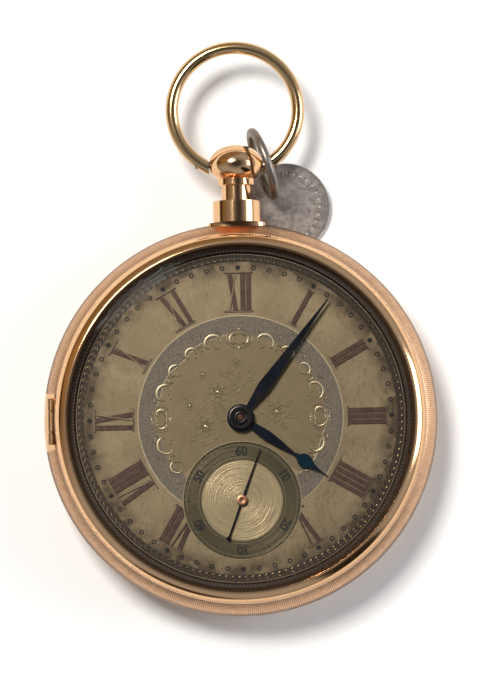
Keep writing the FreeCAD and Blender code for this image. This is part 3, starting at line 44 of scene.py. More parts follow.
bl_info = {
    "name": "Open face pocket watch",
    "version": (1, 0, 0),
    "blender": (4, 5, 0),
    "location": "View3D > Sidebar > Watch",
    "description": "Finishes an open face pocket watch: milled case, engraved dial, hands, link and tag",
    "category": "Object",
}

MM = 0.001
DIAL_TOP = 8.1  # mm, face of the dial
SECONDS = (0.0, -9.6)  # mm, axis of the seconds hand
SECONDS_FLOOR = 7.92  # mm, floor of the sunk seconds circle
SECONDS_RADIUS = 6.85  # mm, the sunk seconds circle
RELIEF_FOOT = DIAL_TOP + 0.01  # mm, height at which the raised lines of the dial start
BAND_CENTRE = (19.264, 5.066)  # mm, centre of the band's section (radius, height)
BAND_SECTION = (*BAND_CENTRE, -24.5, 49.5)  # centre, first and last angle of the milling on the band
BEZEL_CENTRE = (19.9235, 8.553)  # mm, centre of the bezel's section
BEZEL_SECTION = (*BEZEL_CENTRE, -14.0, 27.0)
BEZEL_ROWS = 5
BAND_RADIUS, BEZEL_RADIUS = 3.75, 1.75  # mm, of the two sections
MILLED_GROOVE_SHADE = (0.30, 0.14, 0.07)  # painted shade between the milled pads
HINGE_ANGLE = 8.5  # degrees each side of nine o'clock left plain for the hinges
FINISH = {}  # materials by finish, filled by the first operator


# ------------------------------------------------------------------ node helpers
class Shader:
    """Small builder for a Principled material on Object coordinates in millimetres."""

    def __init__(self, name, color, metallic=0.0, roughness=0.5, **sockets):
        self.material = bpy.data.materials.new(name)
        self.material.use_nodes = True
        self.tree = self.material.node_tree
        self.bsdf = self.tree.nodes["Principled BSDF"]
        self.set("Base Color", (*color, 1.0))
        self.set("Metallic", metallic)
        self.set("Roughness", roughness)
        for key, value in sockets.items():
            self.set(key.replace("_", " "), value)
        coord = self.tree.nodes.new("ShaderNodeTexCoord")
        mapping = self.tree.nodes.new("ShaderNodeMapping")
        mapping.inputs["Scale"].default_value = (1000, 1000, 1000)
        self.link(coord.outputs["Object"], mapping.inputs["Vector"])
        self.mm = mapping.outputs["Vector"]

    def set(self, socket, value):
        self.bsdf.inputs[socket].default_value = value

    def link(self, a, b):
        self.tree.links.new(a, b)

    def feed(self, output, socket):
        self.link(output, self.bsdf.inputs[socket])

    def node(self, kind, **props):
        n = self.tree.nodes.new(kind)
        for key, value in props.items():
            setattr(n, key, value)
        return n

    def math(self, op, a, b=0.0, c=None):
        n = self.node("ShaderNodeMath", operation=op)
        for socket, value in zip(n.inputs, (a, b) if c is None else (a, b, c)):
            if isinstance(value, (int, float)):
                socket.default_value = value
            else:
                self.link(value, socket)
        return n.outputs[0]

    def noise(self, scale, detail=4.0, stretch=(1, 1, 1), vector=None, distortion=0.0, turn=0.0):
        m = self.node("ShaderNodeMapping")
        m.inputs["Scale"].default_value = stretch
        source = vector or self.mm
        if turn:
            spin = self.node("ShaderNodeMapping")
            spin.inputs["Rotation"].default_value = (0, 0, turn)
            self.link(source, spin.inputs["Vector"])
            source = spin.outputs[0]
        self.link(source, m.inputs["Vector"])
        n = self.node("ShaderNodeTexNoise")
        n.inputs["Scale"].default_value = scale
        n.inputs["Detail"].default_value = detail
        n.inputs["Distortion"].default_value = distortion
        self.link(m.outputs[0], n.inputs["Vector"])
        return n.outputs["Fac"]

    def voronoi(self, scale):
        n = self.node("ShaderNodeTexVoronoi")
        n.inputs["Scale"].default_value = scale
        self.link(self.mm, n.inputs["Vector"])
        return n.outputs["Distance"]

    def ramp(self, value, stops):
        n = self.node("ShaderNodeValToRGB")
        elements = n.color_ramp.elements
        while len(elements) < len(stops):
            elements.new(0.5)
        for element, (at, color) in zip(elements, stops):
            element.position = at
            element.color = (*color, 1.0) if isinstance(color, tuple) else (color, color, color, 1.0)
        self.link(value, n.inputs["Fac"])
        return n.outputs["Color"]

    def mix(self, fac, a, b):
        n = self.node("ShaderNodeMix", data_type="RGBA")
        for socket, value in ((n.inputs[0], fac), (n.inputs[6], a), (n.inputs[7], b)):
            if isinstance(value, tuple):
                socket.default_value = (*value, 1.0)
            elif isinstance(value, (int, float)):
                socket.default_value = value
            else:
                self.link(value, socket)
        return n.outputs[2]

    def polar(self, x=0.0, y=0.0):
        """Radius and angle in millimetres and radians around a point of the dial."""
        split = self.node("ShaderNodeSeparateXYZ")
        self.link(self.mm, split.inputs[0])
        dx = self.math("SUBTRACT", split.outputs[0], x)
        dy = self.math("SUBTRACT", split.outputs[1], y)
        square = self.math("ADD", self.math("MULTIPLY", dx, dx), self.math("MULTIPLY", dy, dy))
        return self.math("SQRT", square), self.math("ARCTAN2", dy, dx)

    def bump(self, height, strength, distance=0.05):
        n = self.node("ShaderNodeBump")
        n.inputs["Strength"].default_value = strength
        n.inputs["Distance"].default_value = distance * MM
        self.link(height, n.inputs["Height"])
        if self.bsdf.inputs["Normal"].is_linked:
            self.link(self.bsdf.inputs["Normal"].links[0].from_socket, n.inputs["Normal"])
        self.feed(n.outputs[0], "Normal")


def polished_gold(name, color, roughness, wear=0.5):
    """Rose gold with fine scratches, a little grime and soft colour change."""
    s = Shader(name, color, 1.0, roughness)
    cloud = s.noise(0.35, 3.0)
    warm = tuple(c * k for c, k in zip(color, (1.0, 0.9, 0.78)))
    s.feed(s.mix(s.math("MULTIPLY", cloud, 0.55), color, warm), "Base Color")
    hair = s.noise(6.0, 6.0, (0.25, 5.0, 1.0))
    s.feed(s.math("MULTIPLY_ADD", hair, 0.10 * wear, roughness - 0.03), "Roughness")
    s.bump(s.noise(3.5, 3.0, (0.3, 3.0, 1.0)), 0.05 * wear, 0.02)
    return s.material


def plain_metal(name, color, roughness, grain=(8.0, 0.4, 1.0), strength=0.12, wear=0.1):
    """Metal with directional grain and slight colour change."""
    s = Shader(name, color, 1.0, roughness)
    fine = s.noise(5.0, 5.0, grain)
    dark = tuple(c * 0.72 for c in color)
    s.feed(s.mix(s.noise(0.8, 4.0), color, dark), "Base Color")
    s.feed(s.math("MULTIPLY_ADD", fine, wear, roughness), "Roughness")
    s.bump(fine, strength, 0.02)
    return s.material


def milled_metal(name, color, count, opening, section, rows):
    """Milled gold with painted shade between the pads and a painted dark reflection along the outermost edge,
    past about 22.7 mm radius; section is (radius, height, first and last angle).
    """
    s = Shader(name, color, 1.0, 0.34)
    split = s.node("ShaderNodeSeparateXYZ")
    s.link(s.mm, split.inputs[0])
    radius, angle = s.polar()
    turn = s.math("MULTIPLY", s.math("ADD", angle, opening), count / (2 * opening) * pi)
    r0, z0, start, stop = section
    lift = s.math("ARCTAN2", s.math("SUBTRACT", split.outputs[2], z0), s.math("SUBTRACT", radius, r0))
    row = s.math("MULTIPLY", s.math("SUBTRACT", lift, radians(start)),
                 rows * pi / radians(stop - start))
    across, down = s.math("ABSOLUTE", s.math("SINE", turn)), s.math("ABSOLUTE", s.math("SINE", row))
    pad = s.math("MULTIPLY", across, down)
    # Darker between the pads: painted shade of the grooves, broken up by noise.
    groove_shade_mask = s.math("ADD", pad, s.math("MULTIPLY", s.noise(1.2, 4.0), 0.5))
    tone = s.mix(s.ramp(groove_shade_mask, [(0.28, 0.0), (0.75, 1.0)]), MILLED_GROOVE_SHADE, color)
    # Painted dark reflection along the outermost edge of the band, past about 22.7 mm radius.
    edge = s.ramp(s.math("MULTIPLY", radius, 0.04), [(0.908, 0.0), (0.915, 1.0)])
    s.feed(s.mix(s.math("MULTIPLY", edge, 0.75), tone, (0.06, 0.035, 0.02)), "Base Color")
    s.feed(s.math("MULTIPLY_ADD", s.noise(5.0, 3.0), 0.14, 0.28), "Roughness")
    return s.material


def dial_metal(name):
    """Aged gold dial: vertical brushing, spots, and a darkening towards the rim in irregular patches."""
    s = Shader(name, (0.40, 0.30, 0.165), 0.8, 0.42)
    radius = s.polar()[0]
    brush = s.ramp(s.noise(2.4, 7.0, (1.8, 0.7, 1.0)), [(0.36, 0.0), (0.68, 1.0)])
    cloud = s.noise(0.22, 5.0, distortion=0.5)
    light, mid, dark = (0.32, 0.243, 0.145), (0.245, 0.183, 0.107), (0.12, 0.087, 0.05)
    base = s.mix(s.ramp(cloud, [(0.35, 0.0), (0.65, 1.0)]), mid, light)
    base = s.mix(s.math("MULTIPLY", brush, 0.2), base, dark)
    speck = s.ramp(s.noise(2.6, 3.0), [(0.62, 0.0), (0.74, 1.0)])
    base = s.mix(s.math("MULTIPLY", speck, 0.5), base, (0.08, 0.055, 0.033))
    # Darker towards the rim, from about 16 mm radius, in irregular patches.
    rim = s.math("MULTIPLY", s.ramp(s.math("MULTIPLY", radius, 0.05), [(0.80, 0.0), (0.92, 1.0)]),
                 s.math("ADD", s.ramp(s.noise(0.45, 5.0, distortion=0.6), [(0.35, 0.0), (0.6, 1.0)]), 0.25))
    base = s.mix(s.math("MINIMUM", rim, 0.85), base, (0.055, 0.039, 0.025))
    spots = s.ramp(s.voronoi(0.75), [(0.0, 1.0), (0.09, 0.0)])
    base = s.mix(s.math("MULTIPLY", spots, 0.85), base, (0.04, 0.03, 0.02))
    s.feed(base, "Base Color")
    s.feed(s.math("MULTIPLY_ADD", brush, 0.2, 0.36), "Roughness")
    s.bump(brush, 0.06, 0.02)
    return s.material


def seconds_disc_metal(name, color, x, y):
    """Disc with a fine turned, circular grain."""
    s = Shader(name, color, 0.9, 0.36)
    radius, angle = s.polar(x, y)
    rings = s.node("ShaderNodeCombineXYZ")
    s.link(s.math("MULTIPLY", radius, 9.0), rings.inputs[0])
    s.link(s.math("MULTIPLY", angle, 0.7), rings.inputs[1])
    grain = s.noise(1.0, 4.0, vector=rings.outputs[0])
    s.feed(s.mix(grain, tuple(c * 0.8 for c in color), color), "Base Color")
    s.feed(s.math("MULTIPLY_ADD", grain, 0.2, 0.26), "Roughness")
    s.bump(grain, 0.5, 0.05)
    return s.material


def stippled_metal(name, light, dark):
    """Ground matted with a punch: grey silver with dark pits."""
    s = Shader(name, light, 0.75, 0.5)
    pits = s.ramp(s.voronoi(6.5), [(0.1, 0.0), (0.55, 1.0)])
    s.feed(s.mix(pits, dark, s.mix(s.noise(0.5, 3.0), light, tuple(c * 0.7 for c in light))), "Base Color")
    s.bump(pits, 0.35, 0.03)
    return s.material


def blued_steel(name, bulb=None):
    """Blued steel from blue black to violet brown; bulb is a radius range that turns petrol blue."""
    s = Shader(name, (0.02, 0.035, 0.07), 0.9, 0.3)
    tint = s.ramp(s.noise(0.35, 3.0), [(0.35, (0.008, 0.010, 0.017)), (0.55, (0.011, 0.015, 0.027)),
                                       (0.72, (0.028, 0.020, 0.022))])
    if bulb:
        radius = s.polar()[0]
        middle, half = (bulb[0] + bulb[1]) / 2, (bulb[1] - bulb[0]) / 2
        away = s.math("DIVIDE", s.math("ABSOLUTE", s.math("SUBTRACT", radius, middle)), half)
        inside = s.ramp(away, [(0.6, 1.0), (1.0, 0.0)])
        tint = s.mix(inside, tint, (0.008, 0.033, 0.050))
    s.feed(tint, "Base Color")
    fine = s.noise(4.0, 5.0, (6.0, 6.0, 1.0))
    s.feed(s.math("MULTIPLY_ADD", fine, 0.2, 0.22), "Roughness")
    s.bump(fine, 0.1, 0.02)
    return s.material


def worn_silver(name):
    """Grey silver with pits, grime and long slanting scratches."""
    s = Shader(name, (0.42, 0.38, 0.35), 0.75, 0.4)
    grime = s.ramp(s.noise(1.6, 8.0), [(0.32, (0.36, 0.315, 0.285)), (0.66, (0.56, 0.505, 0.46))])
    pits = s.ramp(s.voronoi(3.6), [(0.04, 1.0), (0.16, 0.0)])
    base = s.mix(s.math("MULTIPLY", pits, 0.7), grime, (0.10, 0.08, 0.07))
    for turn, low in ((1.05, 0.635), (-0.55, 0.66)):
        streak = s.noise(1.0, 2.0, (0.2, 7.0, 1.0), turn=turn)
        scratch = s.ramp(streak, [(low + 0.03, 0.0), (low + 0.07, 1.0)])
        base = s.mix(s.math("MULTIPLY", scratch, 0.35), base, (0.66, 0.62, 0.58))
    s.feed(base, "Base Color")
    s.feed(s.math("MULTIPLY_ADD", grime, 0.25, 0.28), "Roughness")
    s.bump(pits, -0.5, 0.05)
    s.bump(s.noise(3.0, 5.0), 0.3, 0.04)
    return s.material


def numeral_metal(name):
    """Rose brown numerals, hatched along each stroke."""
    s = Shader(name, (0.08, 0.045, 0.035), 0.6, 0.42)
    grain = s.noise(2.0, 4.0)
    s.feed(s.ramp(grain, [(0.3, (0.045, 0.025, 0.019)), (0.7, (0.11, 0.064, 0.049))]), "Base Color")
    s.bump(s.noise(7.0, 3.0), 0.2, 0.02)
    return s.material


def domed_glass(name):
    s = Shader(name, (0.01, 0.01, 0.01), 0.0, 0.03, Alpha=0.08, Specular_IOR_Level=0.12)
    s.feed(s.math("MULTIPLY_ADD", s.noise(2.0, 3.0), 0.02, 0.02), "Roughness")
    s.material.surface_render_method = "BLENDED"
    return s.material


def ruby(name):
    s = Shader(name, (0.5, 0.02, 0.05), 0.0, 0.12)
    s.feed(s.mix(s.noise(2.0, 2.0), (0.55, 0.03, 0.07), (0.28, 0.01, 0.03)), "Base Color")
    return s.material


def paint(name, color, roughness=0.5):
    s = Shader(name, color, 0.0, roughness)
    s.feed(s.mix(s.noise(4.0, 4.0), color, tuple(c * 0.6 for c in color)), "Base Color")
    return s.material


# ------------------------------------------------------------------ mesh helpers
def outward_mesh(name, verts, faces, merge):
    """Mesh from points in millimetres with its faces turned outwards, doubled points merged if asked."""
    mesh = bpy.data.meshes.new(name)
    mesh.from_pydata([(x * MM, y * MM, z * MM) for x, y, z in verts], [], faces)
    bm = bmesh.new()
    bm.from_mesh(mesh)
    if merge:
        bmesh.ops.remove_doubles(bm, verts=bm.verts, dist=1e-8)
    bmesh.ops.recalc_face_normals(bm, faces=bm.faces)
    bm.to_mesh(mesh)
    bm.free()
    return mesh


def mesh_piece(name, verts, faces, material, body, slot, smooth=True):
    """Piece from points in millimetres, riding on a body."""
    return add_piece(name, outward_mesh(name, verts, faces, True), material, body, smooth)


def on_dial(name, part, finish, smooth=True):
    """Piece that lies on the dial."""
    return mesh_piece(name, *part, FINISH[finish], "case", "dial_gold", smooth)


def ring_on_dial(name, template, count, radius, centre, finish, smooth=True):
    """Repeated marks that lie on the dial."""
    return ring_of(name, template, count, radius, centre, FINISH[finish], "case", smooth)


def add_piece(name, mesh, material, body, smooth=True):
    obj = bpy.data.objects.new(name, mesh)
    bpy.context.scene.collection.objects.link(obj)
    if material is not None:
        mesh.materials.clear()
        mesh.materials.append(material)
    mesh.polygons.foreach_set("use_smooth", [smooth] * len(mesh.polygons))
    if smooth:
        mesh.set_sharp_from_angle(angle=radians(38))
    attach(obj, body)
    return obj


def turned(profile, segments):
    """Verts and faces of a closed section (radius, height) turned about Z."""
    verts, faces, n = [], [], len(profile)
    for i in range(segments):
        a = 2 * pi * i / segments
        verts += [(r * cos(a), r * sin(a), z) for r, z in profile]
    for i in range(segments):
        j = (i + 1) % segments
        for k in range(n):
            m = (k + 1) % n
            faces.append((i * n + k, j * n + k, j * n + m, i * n + m))
    return verts, faces


def ridge(path, widths, height, z, steps=5):
    """Half-round relief along a flat path, widths and height in millimetres."""
    verts, faces = [], []
    pts = [Vector(p) for p in path]
    for i, p in enumerate(pts):
        a, b = pts[max(i - 1, 0)], pts[min(i + 1, len(pts) - 1)]
        t = (b - a).normalized()
        side = Vector((-t.y, t.x))
        w = widths[i] / 2
        for k in range(steps + 1):
            phi = pi * k / steps
            q = p + side * (w * cos(phi))
            verts.append((q.x, q.y, z + height * sin(phi) - 0.01))
    n = steps + 1
    for i in range(len(pts) - 1):
        for k in range(steps):
            faces.append((i * n + k, (i + 1) * n + k, (i + 1) * n + k + 1, i * n + k + 1))
        faces.append((i * n + steps, (i + 1) * n + steps, (i + 1) * n, i * n))
    faces.append(tuple(range(n)))
    faces.append(tuple(reversed(range((len(pts) - 1) * n, len(pts) * n))))
    return verts, faces


def join(parts):
    verts, faces = [], []
    for v, f in parts:
        base = len(verts)
        verts += v
        faces += [tuple(i + base for i in face) for face in f]
    return verts, faces


def new_tree(name, inputs, from_mesh=False):
    """Empty Geometry Nodes tree with named inputs; returns it, its makers and its two end nodes."""
    tree = bpy.data.node_groups.new(name, "GeometryNodeTree")
    if from_mesh:
        tree.interface.new_socket("Geometry", in_out="INPUT", socket_type="NodeSocketGeometry")
    for label, kind in inputs:
        tree.interface.new_socket(label, in_out="INPUT", socket_type="NodeSocket" + kind)
    tree.interface.new_socket("Geometry", in_out="OUTPUT", socket_type="NodeSocketGeometry")
    new = tree.nodes.new
    return tree, new, tree.links.new, new("NodeGroupInput"), new("NodeGroupOutput")


def finish_tree(new, link, group, geometry, out):
    """Realize Instances and Set Material, the end of both trees."""
    real, finish = new("GeometryNodeRealizeInstances"), new("GeometryNodeSetMaterial")
    link(geometry, real.inputs[0])
    link(real.outputs[0], finish.inputs["Geometry"])
    link(group.outputs["Material"], finish.inputs["Material"])
    link(finish.outputs[0], out.inputs[0])


def ring_tree():
    """Geometry Nodes: copies of a template around a circle, each turned to face outwards."""
    if "ring_repeat" in bpy.data.node_groups:
        return bpy.data.node_groups["ring_repeat"]
    tree, new, link, group, out = new_tree("ring_repeat", (
        ("Template", "Object"), ("Count", "Int"), ("Radius", "Float"), ("Centre", "Vector"),
        ("Material", "Material")))
    circle, index = new("GeometryNodeMeshCircle"), new("GeometryNodeInputIndex")
    info, put = new("GeometryNodeObjectInfo"), new("GeometryNodeInstanceOnPoints")
    step, angle, euler = new("ShaderNodeMath"), new("ShaderNodeMath"), new("ShaderNodeCombineXYZ")
    whole = new("GeometryNodeTransform")
    step.operation, angle.operation = "DIVIDE", "MULTIPLY"
    step.inputs[0].default_value = 2 * pi
    link(group.outputs["Count"], circle.inputs["Vertices"])
    link(group.outputs["Radius"], circle.inputs["Radius"])
    link(group.outputs["Template"], info.inputs["Object"])
    link(group.outputs["Count"], step.inputs[1])
    link(index.outputs[0], angle.inputs[0])
    link(step.outputs[0], angle.inputs[1])
    link(angle.outputs[0], euler.inputs["Z"])
    link(circle.outputs["Mesh"], put.inputs["Points"])
    link(info.outputs["Geometry"], put.inputs["Instance"])
    link(euler.outputs[0], put.inputs["Rotation"])
    link(put.outputs[0], whole.inputs["Geometry"])
    link(group.outputs["Centre"], whole.inputs["Translation"])
    finish_tree(new, link, group, whole.outputs[0], out)
    return tree


def stipple_tree():
    """Geometry Nodes: small raised grains scattered over a surface with a fixed seed."""
    tree, new, link, group, out = new_tree("stipple", (
        ("Density", "Float"), ("Grain", "Float"), ("Seed", "Int"), ("Material", "Material")), True)
    scatter, cone = new("GeometryNodeDistributePointsOnFaces"), new("GeometryNodeMeshCone")
    put, tall = new("GeometryNodeInstanceOnPoints"), new("ShaderNodeMath")
    size = new("FunctionNodeRandomValue")
    cone.inputs["Vertices"].default_value = 4
    cone.inputs["Radius Top"].default_value = 0.0
    tall.operation = "MULTIPLY"
    tall.inputs[1].default_value = 0.42
    size.inputs[2].default_value, size.inputs[3].default_value = 0.6, 1.25
    link(group.outputs["Geometry"], scatter.inputs["Mesh"])
    link(group.outputs["Density"], scatter.inputs["Density"])
    link(group.outputs["Seed"], scatter.inputs["Seed"])
    link(group.outputs["Seed"], size.inputs["Seed"])
    link(group.outputs["Grain"], cone.inputs["Radius Bottom"])
    link(group.outputs["Grain"], tall.inputs[0])
    link(tall.outputs[0], cone.inputs["Depth"])
    link(scatter.outputs["Points"], put.inputs["Points"])
    link(cone.outputs["Mesh"], put.inputs["Instance"])
    link(size.outputs[1], put.inputs["Scale"])
    finish_tree(new, link, group, put.outputs[0], out)
    return tree


def grow(tree, source_mesh, inputs):
    """Result of a Geometry Nodes tree as a plain mesh; inputs are set by socket identifier."""
    host = bpy.data.objects.new("host", source_mesh)
    bpy.context.scene.collection.objects.link(host)
    modifier = host.modifiers.new("repeat", "NODES")
    modifier.node_group = tree
    named = {s.name: s.identifier for s in tree.interface.items_tree if s.in_out == "INPUT"}
    for label, value in inputs.items():
        modifier[named[label]] = value
    depsgraph = bpy.context.evaluated_depsgraph_get()
    mesh = bpy.data.meshes.new_from_object(host.evaluated_get(depsgraph))
    host.modifiers.remove(modifier)
    bpy.data.objects.remove(host)
    return mesh


def ring_of(name, template, count, radius, centre, material, body, smooth=True):
    """Template (verts and faces in mm, +X outwards) repeated around a circle."""
    verts, faces = template
    mesh = outward_mesh("template", verts, faces, False)
    seed = bpy.data.objects.new("template", mesh)
    bpy.context.scene.collection.objects.link(seed)
    result = grow(ring_tree(), bpy.data.meshes.new("empty"), {
        "Template": seed, "Count": count, "Radius": radius * MM,
        "Centre": tuple(c * MM for c in centre), "Material": material})
    bpy.data.objects.remove(seed)
    return add_piece(name, result, material, body, smooth)


def dome(radius, height, rings=3, sides=10, dimple=0.0):
    """Small dome on the plane z = 0, with an optional dimple."""
    verts, faces = [], []
    for k in range(rings + 1):
        t = k / rings
        r = radius * cos(t * pi / 2) if k < rings else 0.0
        z = height * sin(t * pi / 2) - (dimple if k == rings else 0.0)
        verts += [(r * cos(2 * pi * i / sides), r * sin(2 * pi * i / sides), z)
                  for i in range(sides if k < rings else 1)]
    for k in range(rings - 1):
        for i in range(sides):
            j = (i + 1) % sides
            faces.append((k * sides + i, k * sides + j, (k + 1) * sides + j, (k + 1) * sides + i))
    top = rings * sides
    faces += [((rings - 1) * sides + i, (rings - 1) * sides + (i + 1) % sides, top) for i in range(sides)]
    faces.append(tuple(reversed(range(sides))))
    return verts, faces


def block(x0, x1, y0, y1, z0, z1, chamfer=0.0):
    """Box with its top edges drawn in by the chamfer."""
    c = chamfer
    verts = [(x0, y0, z0), (x1, y0, z0), (x1, y1, z0), (x0, y1, z0),
             (x0, y0, z1 - c), (x1, y0, z1 - c), (x1, y1, z1 - c), (x0, y1, z1 - c),
             (x0 + c, y0 + c, z1), (x1 - c, y0 + c, z1), (x1 - c, y1 - c, z1), (x0 + c, y1 - c, z1)]
    faces = [(3, 2, 1, 0), (8, 9, 10, 11)]
    for i in range(4):
        j = (i + 1) % 4
        faces += [(i, j, 4 + j, 4 + i), (4 + i, 4 + j, 8 + j, 8 + i)]
    return verts, faces


def placed(part, angle=0.0, dx=0.0, dy=0.0, dz=0.0):
    """Copy of verts and faces, turned about Z and moved."""
    c, s = cos(angle), sin(angle)
    return [(c * x - s * y + dx, s * x + c * y + dy, z + dz) for x, y, z in part[0]], part[1]


def slab(inner, outer, z0, z1, start, stop, count, rows=1):
    """Closed flat sheet between two radii, each a number or a function of the angle."""
    fin = inner if callable(inner) else (lambda a: inner)
    fout = outer if callable(outer) else (lambda a: outer)
    whole = abs(stop - start - 2 * pi) < 1e-6
    verts, faces = [], []
    n = count if whole else count + 1
    w = rows + 1
    for i in range(n):
        a = start + (stop - start) * i / count
        for z in (z0, z1):
            for k in range(w):
                r = fin(a) + (fout(a) - fin(a)) * k / rows
                verts.append((r * cos(a), r * sin(a), z))
    for i in range(count):
        p, q = i * 2 * w, ((i + 1) % n) * 2 * w
        for k in range(rows):
            faces.append((p + w + k, p + w + k + 1, q + w + k + 1, q + w + k))
            faces.append((p + k + 1, p + k, q + k, q + k + 1))
        faces.append((p, p + w, q + w, q))
        faces.append((p + w - 1, q + w - 1, q + 2 * w - 1, p + 2 * w - 1))
    if not whole:
        for i in (0, n - 1):
            p = i * 2 * w
            faces.append(tuple(range(p, p + w)) + tuple(reversed(range(p + w, p + 2 * w))))
    return verts, faces


def arc_section(centre, radius, start, stop, count):
    """Points of a circular section (radius, height) between two angles in degrees."""
    out = []
    for i in range(count + 1):
        a = radians(start + (stop - start) * i / count)
        out.append((centre[0] + radius * cos(a), centre[1] + radius * sin(a)))
    return out


def curl(points, count=24):
    """Smooth path through a few points (Catmull-Rom)."""
    p = [Vector(q) for q in points]
    p = [p[0] * 2 - p[1]] + p + [p[-1] * 2 - p[-2]]
    out = []
    for i in range(1, len(p) - 2):
        for k in range(count // (len(p) - 3)):
            t = k / (count // (len(p) - 3))
            a, b, c, d = p[i - 1:i + 3]
            out.append(0.5 * (2 * b + (c - a) * t + (2 * a - 5 * b + 4 * c - d) * t * t
                              + (3 * b - a - 3 * c + d) * t * t * t))
    out.append(p[-2])
    return out


def swell(path, wide, ends=0.25):
    """Widths that swell to the middle of a path."""
    n = len(path) - 1
    return [wide * (ends + (1 - ends) * sin(pi * i / n)) for i in range(n + 1)]


def clear_of_seconds(path):
    """True where a whole path stays outside the seconds circle."""
    return all(hypot(q[0] - SECONDS[0], q[1] - SECONDS[1]) > SECONDS_RADIUS + 0.1 for q in path)


# ------------------------------------------------------------------ sizes and colours
def length(name, text, default):
    return bpy.props.FloatProperty(name=name, description=text, default=default, unit="LENGTH",
                                   precision=6)


def number(name, text, default, least):
    return bpy.props.IntProperty(name=name, description=text, default=default, min=least)


def shade(name, text, default):
    return bpy.props.FloatVectorProperty(name=name, description=text, default=default, subtype="COLOR",
                                         size=3, min=0.0, max=1.0)


class WatchSizes(bpy.types.PropertyGroup):
    """Sizes of the decoration that a user may change."""
    reeds: number("Reeds", "Milled pads around the band", 560, 60)
    reed_rows: number("Reed rows", "Rows of pads over the band", 20, 4)
    reed_rise: length("Reed rise", "Height of the milled pads", 0.000026)
    beads: number("Beads", "Beads in the line below the bezel", 400, 40)
    ribs: number("Ribs", "Ribs on the ring inside the bezel", 300, 40)
    leaf_pairs: number("Leaf pairs", "Leaf pairs in the dial's wreath", 150, 20)
    wreath_radius: length("Wreath radius", "Radius of the wreath", 0.01868)
    mark_radius: length("Minute circle", "Radius of the minute marks", 0.0176)
    medallion: length("Medallion radius", "Radius of the engraved centre", 0.0119)
    grains: bpy.props.FloatProperty(name="Grains", description="Stipple grains per square millimetre",
                                    default=30.0, min=1.0)
    hatch_pitch: length("Hatch pitch", "Spacing of the hatching on the numerals", 0.00014)
    seconds_digits: length("Seconds digits", "Height of the digits of the seconds circle", 0.00145)


class WatchColours(bpy.types.PropertyGroup):
    """Colours of the main finishes."""
    case_gold: shade("Case gold", "Polished rose gold of the case", (0.78, 0.49, 0.27))
    bow_gold: shade("Bow gold", "Yellower gold of the bow", (0.66, 0.45, 0.235))
    milled_gold: shade("Milled gold", "Duller gold of the milled band", (0.74, 0.475, 0.29))
    leaf_gold: shade("Relief gold", "Bright tops of the dial's relief", (0.50, 0.41, 0.26))
    floor: shade("Floor", "Pale floor", (0.93, 0.93, 0.93))


def sizes():
    return bpy.context.scene.watch_sizes


def colours():
    return bpy.context.scene.watch_colours


